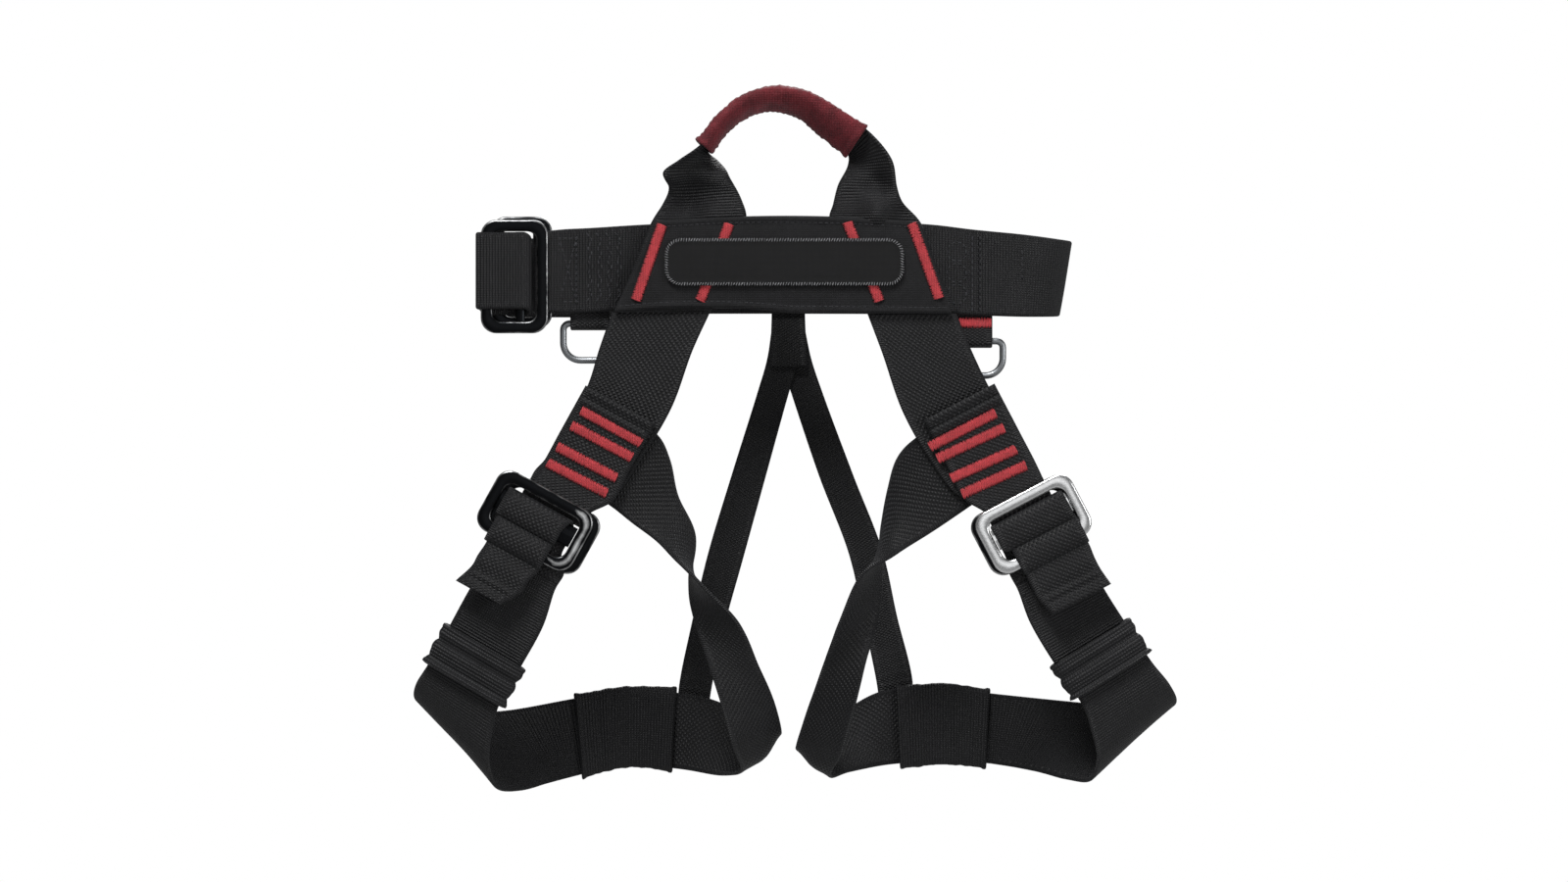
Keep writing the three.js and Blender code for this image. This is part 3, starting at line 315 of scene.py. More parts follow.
# Each finish by its name, made from the chosen colours when it is first used. The weaves are
# given by the spacing of their yarns: 1.3 to 1.9 mm in the webbings and 0.6 to 0.9 mm in the
# cloths, about twice as coarse as real yarn, so that they show from a few metres.
FINISHES = {
    # A lattice of small lozenges, each with a lit upper edge, over gaps painted near-black as shade
    "leg webbing": lambda look: webbing(
        "Diamond-woven polyester webbing", look.webbing, (0.39, 1, 2.44), 1.9, 45, 0.05),
    # Fine upright ribs and a flatter, more even black
    "waist webbing": lambda look: webbing(
        "Ribbed polyester webbing", look.webbing, (0.46, 0.96, 1.7), 1.5, 0, 0.04),
    # The same yarn in a closer, slanting weave
    "narrow webbing": lambda look: webbing(
        "Narrow polyester webbing", look.webbing, (0.46, 1, 2.15), 1.3, 30, 0.05),
    # The strongest ribs, painted grey on top as a highlight
    "elastic": lambda look: webbing(
        "Ribbed elastic", look.webbing, (0.36, 1.12, 4.1), 1.8, 0, 0.06),
    # Soft cloth with broad, faint creases painted darker as shade, and no gloss
    "cover cloth": lambda look: plain_cloth(
        "Plain-woven cover cloth", look.webbing, (0.39, 1.55), 0.9, 9, 0.05, 0.75),
    # Pressed flat and darker than the panel behind it
    "label cloth": lambda look: plain_cloth(
        "Calendered label cloth", look.webbing, (0.26, 0.63), 0.6, 14, 0.03, 0.6),
    # Deep red in the creases as painted shade, and a dusty red where the cloth is raised
    "sleeve cloth": lambda look: plain_cloth(
        "Burgundy wear sleeve", look.sleeve, (0.18, 1), 0.8, 7, 0.15, 0.6),
    # Bright strands with twists between them painted darker as shade
    "red thread": lambda look: spun_thread("Red bonded thread", look.tacks, 0.37),
    "black thread": lambda look: spun_thread("Black bonded thread", linear("#3c3c40"), 0.12),
    # Pale loops that outline the label
    "grey thread": lambda look: spun_thread("Grey overlock thread", look.overlock, 0.17),
    # A mirror with soft streaks, paler along its edges: partly wear, partly a painted highlight
    "bright steel": lambda look: pressed_steel(
        "Bright nickel-plated steel", "#d6d7d8", "#f0f0f0", 0.16, 0.3),
    # Black gloss with white highlights, and bare steel along the edges: partly wear, partly painted
    # highlights and glints
    "black steel": lambda look: pressed_steel(
        "Black-plated steel", "#1a1b1d", "#d8d9da", 0.26, 0.35),
    # Duller and warmer than the plated buckles
    "grey steel": lambda look: pressed_steel(
        "Grey welded steel wire", "#8e9194", "#b8babc", 0.3, 0.2),
}
MATERIALS = {}


def finish(name):
    """The material of that finish."""
    if name not in MATERIALS:
        MATERIALS[name] = FINISHES[name](bpy.context.scene.saddle_colours)
    return MATERIALS[name]


# ---------------------------------------------------------------- shapes


def smoothstep(low, high, value):
    t = min(1.0, max(0.0, (value - low) / (high - low)))
    return t * t * (3 - 2 * t)


def band(value, low, high, soft=0.8):
    """1 between two places and 0 outside, with soft ends."""
    return smoothstep(low - soft, low + soft, value) * (1 - smoothstep(high - soft, high + soft, value))


def arc(centre_a, centre_b, radius, start, end, steps=6):
    """Points on an arc in a plane, from one angle to another in degrees."""
    angles = [math.radians(start + (end - start) * step / steps) for step in range(steps + 1)]
    return [
        (centre_a + radius * math.cos(angle), centre_b + radius * math.sin(angle))
        for angle in angles
    ]


def spline_point(points, knots, t):
    """A point of a centripetal Catmull-Rom curve, between the second and third of four points."""
    def lerp(a, b, start, end):
        return a * ((end - t) / (end - start)) + b * ((t - start) / (end - start))
    first = [lerp(points[i], points[i + 1], knots[i], knots[i + 1]) for i in range(3)]
    second = [lerp(first[i], first[i + 1], knots[i], knots[i + 2]) for i in range(2)]
    return lerp(second[0], second[1], knots[1], knots[2])


def spline(points, counts):
    """A smooth curve through the points, with that many steps in each span."""
    ends = [points[0] * 2 - points[1], *points, points[-1] * 2 - points[-2]]
    curve = []
    for span, count in enumerate(counts):
        four = ends[span:span + 4]
        knots = [0.0]
        for a, b in zip(four, four[1:]):
            knots.append(knots[-1] + max((b - a).length, 1e-4) ** 0.5)
        for step in range(count):
            curve.append(spline_point(four, knots, knots[1] + (knots[2] - knots[1]) * step / count))
    curve.append(points[-1])
    return curve


class Strap:
    """A flat strap along stations: each holds a point on one edge and the point across from it."""

    def __init__(self, stations, pitch=2.0, start=0.0):
        pairs = [(Vector(a), Vector(b)) for a, b in stations]
        spans = zip(pairs, pairs[1:])
        counts = [
            max(1, math.ceil(max((c - a).length, (d - b).length) / pitch))
            for (a, b), (c, d) in spans
        ]
        self.edges = [spline([pair[side] for pair in pairs], counts) for side in (0, 1)]
        middles = [(a + b) / 2 for a, b in zip(*self.edges)]
        self.along = []
        self.lengths = [start]
        last = len(middles) - 1
        for row, middle in enumerate(middles):
            self.along.append((middles[min(last, row + 1)] - middles[max(0, row - 1)]).normalized())
            if row:
                self.lengths.append(self.lengths[-1] + (middle - middles[row - 1]).length)
        self.end = self.lengths[-1]

    def at_row(self, row, share):
        """The point, the direction out of the lifted face and the width at a row of the strap."""
        a, b = self.edges[0][row], self.edges[1][row]
        out = self.along[row].cross(b - a).normalized()
        return a.lerp(b, share), out, (b - a).length


def new_piece(name, verts, faces, material, uvs=None, attributes=None):
    """A smooth mesh object, its points given in millimetres."""
    mesh = bpy.data.meshes.new(name)
    mesh.from_pydata([tuple(v * MM for v in vert) for vert in verts], [], faces)
    mesh.shade_smooth()
    if uvs:
        layer = mesh.uv_layers.new(name="UVMap")
        for loop in mesh.loops:
            layer.data[loop.index].uv = uvs[loop.vertex_index]
    for key, values in (attributes or {}).items():
        mesh.attributes.new(key, "FLOAT", "POINT").data.foreach_set("value", values)
    mesh.validate()
    mesh.update()
    made = bpy.data.objects.new(name, mesh)
    bpy.context.scene.collection.objects.link(made)
    made.data.materials.append(material)
    return made


def across_shares(width, thickness):
    """Shares of the width where a strap's section has points: close together at its round edges."""
    edge = [0, 0.15 * thickness, 0.45 * thickness, 1.0 * thickness]
    middle = max(6, round(width / 2.6))
    inner = [edge[-1] + (width - 2 * edge[-1]) * step / middle for step in range(1, middle)]
    return [place / width for place in edge + inner + [width - place for place in reversed(edge)]]


def rings_joined(rings, size):
    """Faces between rings of points that follow each other in that order."""
    return [
        (first * size + at, first * size + (at + 1) % size,
         second * size + (at + 1) % size, second * size + at)
        for first, second in zip(rings, rings[1:])
        for at in range(size)
    ]


def ribbon(name, strap, thickness, material, drift=None, relief=None, selvedge=2.6, dents=()):
    """The webbing of a strap. drift(length, share) moves the whole web along its lift,
    relief(length, share, face) raises one face, and each dent is a place, a radius and a rise,
    all in millimetres."""
    width = strap.at_row(len(strap.lengths) // 2, 0.5)[2]
    shares = across_shares(width, thickness)
    verts, uvs, edge_marks = [], [], []
    for row, length in enumerate(strap.lengths):
        for face in (1, -1):
            for share in shares if face == 1 else reversed(shares):
                point, out, wide = strap.at_row(row, share)
                inside = min(share, 1 - share) * wide
                radius = thickness / 2
                bow = math.sqrt(max(0.0, radius ** 2 - max(0.0, radius - inside) ** 2))
                height = max(0.25 * radius, bow)
                if relief:
                    height += relief(length, share, face) * min(1.0, inside / 1.2)
                moved = drift(length, share) if drift else 0.0
                for place, radius, rise in dents:
                    moved += rise * math.exp(-((point - Vector(place)).length / radius) ** 2)
                verts.append(point + out * (face * height + moved))
                uvs.append((length * MM, (share - 0.5) * wide * MM))
                edge_marks.append(1 - smoothstep(selvedge * 0.6, selvedge, inside))
    size = 2 * len(shares)
    rows = len(strap.lengths)
    faces = rings_joined(range(rows), size)
    ladder = [(at, at + 1, size - 2 - at, size - 1 - at) for at in range(len(shares) - 1)]
    last = (rows - 1) * size
    faces += [tuple(reversed(quad)) for quad in ladder]
    faces += [tuple(last + at for at in quad) for quad in ladder]
    made = new_piece(name, verts, faces, material, uvs, {"selvedge": edge_marks})
    return outward(made)


def outward(piece):
    """The piece, with its faces turned over if they enclose a negative volume."""
    verts = piece.data.vertices
    volume = 0.0
    for polygon in piece.data.polygons:
        first = verts[polygon.vertices[0]].co
        for b, c in zip(polygon.vertices[1:], polygon.vertices[2:]):
            volume += first.dot(verts[b].co.cross(verts[c].co))
    if volume < 0:
        piece.data.flip_normals()
    return piece


def tube_round(name, strap, shape, thickness, overlap, wall, material, relief=None, corners=36):
    """A sleeve round a strap: an outer skin, an inner one and a rolled rim at both ends."""
    verts, uvs = [], []
    loops = []
    rows = len(strap.lengths)
    outer = [(row, 0) for row in range(rows)]
    inner = [(row, 1) for row in reversed(range(rows))]
    order = [*outer, (rows - 1, 0.5), *inner, (0, 0.5)]
    for row, depth in order:
        a, b = strap.edges[0][row], strap.edges[1][row]
        across = (b - a).normalized()
        out = strap.along[row].cross(across).normalized()
        shift = 0.0
        if depth == 0.5:
            shift = 0.45 if row else -0.45
        half = (b - a).length / 2 + overlap - wall * depth
        high = thickness / 2 - wall * depth
        loop = []
        for corner in range(corners):
            angle = 2 * math.pi * corner / corners
            c, s = math.cos(angle), math.sin(angle)
            x = math.copysign(abs(c) ** shape, c) * half
            y = math.copysign(abs(s) ** (shape * 1.6), s) * high
            extra = relief(strap.lengths[row], angle) * (1 - depth) if relief else 0.0
            direction = (across * c + out * s).normalized()
            point = (a + b) / 2 + across * x + out * y + direction * extra + strap.along[row] * shift
            loop.append(len(verts))
            verts.append(point)
            uvs.append((strap.lengths[row] * MM, x * MM))
        loops.append(loop)
    faces = []
    for first, second in zip(loops, loops[1:] + loops[:1]):
        for at in range(corners):
            after = (at + 1) % corners
            faces.append((first[at], first[after], second[after], second[at]))
    made = new_piece(name, verts, faces, material, uvs, {"selvedge": [0.0] * len(verts)})
    return outward(made)


def rounded_outline(width, height, radius, arc_steps=8, side_steps=6):
    """Points round a rounded rectangle in X and Z, the same number for any size."""
    x, z = width / 2 - radius, height / 2 - radius
    corners = [(x, z, 0), (-x, z, 90), (-x, -z, 180), (x, -z, 270)]
    outline = []
    for index, (cx, cz, start) in enumerate(corners):
        turn = arc(cx, cz, radius, start, start + 90, arc_steps)
        outline += turn
        nx, nz, nstart = corners[(index + 1) % 4]
        goal = arc(nx, nz, radius, nstart, nstart + 90, 1)[0]
        for step in range(1, side_steps):
            share = step / side_steps
            outline.append((turn[-1][0] + (goal[0] - turn[-1][0]) * share,
                            turn[-1][1] + (goal[1] - turn[-1][1]) * share))
    return outline


# The section of a pressed rail: shares of its width and of its thickness, and how much bare steel shows
# there, partly as wear and partly as a painted highlight along the rail's edges.
RAIL_SECTION = [
    (0.0, -0.22, 1.0), (0.0, 0.22, 1.0), (0.05, 0.4, 1.0), (0.17, 0.5, 0.4), (0.5, 0.5, 0.0),
    (0.83, 0.5, 0.3), (0.95, 0.4, 0.8), (1.0, 0.22, 0.8), (1.0, -0.22, 0.8), (0.95, -0.4, 0.8),
    (0.83, -0.5, 0.3), (0.5, -0.5, 0.0), (0.17, -0.5, 0.4), (0.05, -0.4, 1.0),
]
FRONT_MIDDLE = (0.5, -0.5)  # the point of the section in the middle of a rail's front


def steel_frame(name, width, height, material, matrix, wear_and_painted_highlight=None):
    """A pressed frame with one window, its rails rounded. The optional function of x and z gives a
    painted highlight band along the middle of the rails' front, added to the marks of bare steel."""
    outer = rounded_outline(width, height, BUCKLE_CORNER)
    inner = rounded_outline(width - 2 * RAIL, height - 2 * RAIL, BUCKLE_CORNER - RAIL / 2)
    verts, marks = [], []
    for (ox, oz), (ix, iz) in zip(outer, inner):
        for share, high, wear_and_highlight_level in RAIL_SECTION:
            local = Vector((ox + (ix - ox) * share, high * STEEL, oz + (iz - oz) * share))
            verts.append(matrix @ local)
            marks.append(wear_and_highlight_level + (wear_and_painted_highlight(ox, oz) if wear_and_painted_highlight and (share, high) == FRONT_MIDDLE else 0))
    faces = rings_joined([*range(len(outer)), 0], len(RAIL_SECTION))
    return outward(new_piece(name, verts, faces, material, None, {"wear": marks}))


def wire_ring(name, outline, radius, material, y, sides=14):
    """Round wire bent into a closed ring in a plane of X and Z."""
    points = [Vector((x, y, z)) for x, z in outline]
    count = len(points)
    verts, marks = [], []
    for at, point in enumerate(points):
        along = (points[(at + 1) % count] - points[at - 1]).normalized()
        out = along.cross(Vector((0, 1, 0)))
        for side in range(sides):
            angle = 2 * math.pi * side / sides
            depth = Vector((0, radius * math.sin(angle), 0))
            verts.append(point + out * (radius * math.cos(angle)) + depth)
            marks.append(0.6)
    faces = rings_joined([*range(count), 0], sides)
    return outward(new_piece(name, verts, faces, material, None, {"wear": marks}))


# ---------------------------------------------------------------- thread


def stitch_tree():
    """Geometry Nodes that lay strands of thread along lines, each turned by an angle from the line."""
    tree = bpy.data.node_groups.get("Stitch run")
    if tree:
        return tree
    tree = bpy.data.node_groups.new("Stitch run", "GeometryNodeTree")
    tree.interface.new_socket("Geometry", in_out="OUTPUT", socket_type="NodeSocketGeometry")
    tree.interface.new_socket("Geometry", in_out="INPUT", socket_type="NodeSocketGeometry")
    for name in ("Spacing", "Strand Length", "Strand Width", "Turn", "Jitter"):
        tree.interface.new_socket(name, in_out="INPUT", socket_type="NodeSocketFloat")
    tree.interface.new_socket("Seed", in_out="INPUT", socket_type="NodeSocketInt")
    tree.interface.new_socket("Material", in_out="INPUT", socket_type="NodeSocketMaterial")
    given = node(tree, "NodeGroupInput").outputs
    line = node(tree, "GeometryNodeMeshToCurve", {"Mesh": given["Geometry"]})
    even = node(tree, "GeometryNodeResampleCurve", {
        "Curve": line, "Length": given["Spacing"],
    }, mode="LENGTH")
    strand = node(tree, "GeometryNodeMeshUVSphere", {"Segments": 6, "Rings": 5, "Radius": 0.5})
    width = given["Strand Width"]
    size = node(tree, "ShaderNodeCombineXYZ", {0: given["Strand Length"], 1: width, 2: width})
    tangent = node(tree, "GeometryNodeInputTangent")
    out = node(tree, "GeometryNodeInputNamedAttribute", {"Name": "out"}, data_type="FLOAT_VECTOR")
    lined = node(tree, "FunctionNodeAlignRotationToVector", {"Vector": tangent}, axis="X")
    stood = node(tree, "FunctionNodeAlignRotationToVector", {
        "Rotation": lined, "Vector": out,
    }, axis="Z", pivot_axis="X")
    low = node(tree, "ShaderNodeMath", {0: given["Turn"], 1: given["Jitter"]}, operation="SUBTRACT")
    high = node(tree, "ShaderNodeMath", {0: given["Turn"], 1: given["Jitter"]}, operation="ADD")
    chance = node(tree, "FunctionNodeRandomValue", {
        2: low, 3: high, "Seed": given["Seed"],
    }, data_type="FLOAT")
    spin = node(tree, "FunctionNodeAxisAngleToRotation", {
        "Axis": (0, 0, 1), "Angle": chance.outputs[1],
    })
    turned = node(tree, "FunctionNodeRotateRotation", {
        "Rotation": stood, "Rotate By": spin,
    }, rotation_space="LOCAL")
    laid = node(tree, "GeometryNodeInstanceOnPoints", {
        "Points": even, "Instance": strand, "Rotation": turned, "Scale": size,
    })
    real = node(tree, "GeometryNodeRealizeInstances", {"Geometry": laid})
    smooth = node(tree, "GeometryNodeSetShadeSmooth", {"Geometry": real})
    painted = node(tree, "GeometryNodeSetMaterial", {
        "Geometry": smooth, "Material": given["Material"],
    })
    node(tree, "NodeGroupOutput", {"Geometry": painted})
    return tree


def stitched(name, lines, material, spacing, length, width, turn=0.0, jitter=3.0, seed=1):
    """Thread along lines of (point, direction out) in millimetres: running stitches, or a bar
    tack where the strands are turned across the line."""
    verts, outs, edges = [], [], []
    for line in lines:
        for at, (point, out) in enumerate(line):
            if at:
                edges.append((len(verts) - 1, len(verts)))
            verts.append(tuple(v * MM for v in point))
            outs += list(out)
    mesh = bpy.data.meshes.new(name)
    mesh.from_pydata(verts, edges, [])
    mesh.attributes.new("out", "FLOAT_VECTOR", "POINT").data.foreach_set("vector", outs)
    made = bpy.data.objects.new(name, mesh)
    bpy.context.scene.collection.objects.link(made)
    tree = stitch_tree()
    modifier = made.modifiers.new("Stitches", "NODES")
    modifier.node_group = tree
    values = {
        "Spacing": spacing * MM, "Strand Length": length * MM, "Strand Width": width * MM,
        "Turn": math.radians(turn), "Jitter": math.radians(jitter), "Seed": seed, "Material": material,
    }
    for item in tree.interface.items_tree:
        if item.item_type == "SOCKET" and item.in_out == "INPUT" and item.name in values:
            modifier[item.identifier] = values[item.name]
    bpy.context.view_layer.update()
    evaluated = made.evaluated_get(bpy.context.evaluated_depsgraph_get())
    flat = bpy.data.meshes.new_from_object(evaluated)
    made.modifiers.clear()
    made.data = flat
    return made


def facing_line(points, y, face=FRONT):
    """A line of thread in a plane, given as points in X and Z, with the direction out of its face."""
    return [((x, y, z), (0, face, 0)) for x, z in points]


def even_points(points, pitch=2.0):
    """The same line with points at about a pitch."""
    made = []
    for (ax, az), (bx, bz) in zip(points, points[1:]):
        dx, dz = bx - ax, bz - az
        count = max(1, round(math.hypot(dx, dz) / pitch))
        made += [(ax + dx * step / count, az + dz * step / count) for step in range(count)]
    return made + [points[-1]]


def wrinkle(length, share, coarse, size, seed):
    """Soft unevenness of worked webbing, in millimetres."""
    return size * noise.noise(Vector((length / coarse, share * 1.7, seed * 7.3)))


# ---------------------------------------------------------------- the stations of the straps


def belt_station(x, y, top, bottom, lean=0.0):
    """The two edge points of a belt that stands on its edge, leaning to the right at its top."""
    return ((x + lean, y, top), (x - lean, y, bottom))


def cross_station(middle, width, y, z):
    """The two edge points of a strap that lies across X."""
    return ((middle - width / 2, y, z), (middle + width / 2, y, z))


FRAME_X, FRAME_Y = -139.8, 3.7
FRAME_RAIL_X = FRAME_X + 10
FOLD_RADIUS = STEEL / 2 + GAP + BELT / 2
PLATE_X = -143.2
PLATE_Y = FRAME_Y - STEEL - 2 * GAP - BELT
WAIST_BAR_X = PLATE_X + 3
OVER_Y = PLATE_Y - STEEL / 2 - GAP - BELT / 2
UNDER_Y = PLATE_Y + STEEL / 2 + GAP + BELT / 2
PLATE_LEFT = PLATE_X - WAIST_PLATE[0] / 2
FRAME_LEFT = FRAME_X - WAIST_FRAME[0] / 2
SIDE_X = -161.2
TUCKED_X = SIDE_X + BELT + GAP

ROUND_FRAME = arc(FRAME_RAIL_X, FRAME_Y, FOLD_RADIUS, 90, 270, 6)
BELT_STATIONS = [
    belt_station(-117, FRAME_Y + FOLD_RADIUS, -62.4, -104.6),
    *(belt_station(x, y, -62.4, -104.6) for x, y in ROUND_FRAME),
    belt_station(-117, BELT_Y - 0.7, -61.2, -105),
    belt_station(-105, BELT_Y, -60.6, -104.6),
    belt_station(-70, BELT_Y, -58.5, -103),
    belt_station(0, BELT_Y, -57, -102.5),
    belt_station(70, BELT_Y, -58.5, -104.5),
    belt_station(96, BELT_Y, -61.4, -106),
    belt_station(122, BELT_Y + 1.6, -64, -106.8, 0.8),
    belt_station(137.4, BELT_Y + 8.5, -66, -106.6, 2.8),
    belt_station(144, BELT_Y + 22, -66.6, -106, 3.4),
    belt_station(139.4, BELT_Y + 37, -66.4, -105.4, 2.8),
    belt_station(125, BACK_RUN_Y - 1.4, -65.8, -105, 1.2),
    belt_station(108, BACK_RUN_Y, -65, -104.6),
    belt_station(60, BACK_RUN_Y, -64.4, -104.2),
    belt_station(0, BACK_RUN_Y, -64, -104),
    belt_station(-60, BACK_RUN_Y, -64, -104),
    belt_station(-120, BACK_RUN_Y, -64, -104),
]
OVER_PLATE_PATH = [
    (-120, BACK_RUN_Y), (-146, BACK_RUN_Y - 3), (-158.4, BACK_RUN_Y - 14), (SIDE_X, BACK_RUN_Y - 27),
    (SIDE_X - 0.6, 14), (PLATE_LEFT - GAP - BELT / 2, 4),
    *arc(PLATE_LEFT, PLATE_Y - STEEL / 2, GAP + BELT / 2, 180, 270, 4),
    (PLATE_LEFT + 6, OVER_Y - 0.2), (WAIST_BAR_X - 4, OVER_Y),
]
OVER_PLATE_COUNT = len(OVER_PLATE_PATH)
BELT_END_PATH = [
    *OVER_PLATE_PATH,
    *arc(WAIST_BAR_X + 2, PLATE_Y, UNDER_Y - PLATE_Y, -90, 90, 8),
    (WAIST_BAR_X - 8, UNDER_Y), (FRAME_LEFT + 1.8, UNDER_Y), (FRAME_LEFT - 0.8, UNDER_Y + 0.2),
    (TUCKED_X + 0.6, UNDER_Y + 1.7), (TUCKED_X, UNDER_Y + 4), (TUCKED_X + 0.6, 14),
    (TUCKED_X + 1, BACK_RUN_Y - 27), (TUCKED_X + 3.8, BACK_RUN_Y - 16), (-144.6, BACK_RUN_Y - 6),
    (-120, BACK_RUN_Y - 2.9), (-84, BACK_RUN_Y - 2.9),
]

# The tie-in web: from behind the panel up to the sleeve on the left, then down on the right
LOOP_LEFT = [
    ((-91, 0, -104.4), (-41, 0, -104.4)),
    ((-81.5, 0, -81), (-31.5, 0, -80.5)),
    ((-72, 0, -57.6), (-22.5, 0, -56)),
    ((-66, 1, -47.5), (-25, 0, -46)),
    ((-63, 2, -39.5), (-29, 0, -38)),
    ((-66, -4.5, -32), (-33, 2, -31)),
    ((-57, -8, -25.5), (-37.5, 6, -25.5)),
]
SLEEVED_RUN = [
    (-44.4, -18.4, 8), (-33.7, -5.1, 10), (-21.4, 3.6, 16), (-8.2, 6.6, 22),
    (7.7, 3.1, 30), (20.4, -5.6, 40), (34.7, -15.6, 48),
]
LOOP_RIGHT = [
    ((53, -6.5, -25.5), (30.5, 6.5, -27.5)),
    ((55.6, -3.5, -39), (25, 3, -38.5)),
    ((58.6, -1, -47), (22.4, 1, -48.5)),
    ((68, 0, -57.6), (20.5, 0, -56)),
    ((76.5, 0, -81), (30, 0, -80.5)),
    ((87, 0, -104.4), (40, 0, -104.4)),
]
FOLDED_HALF_WIDTH = 10

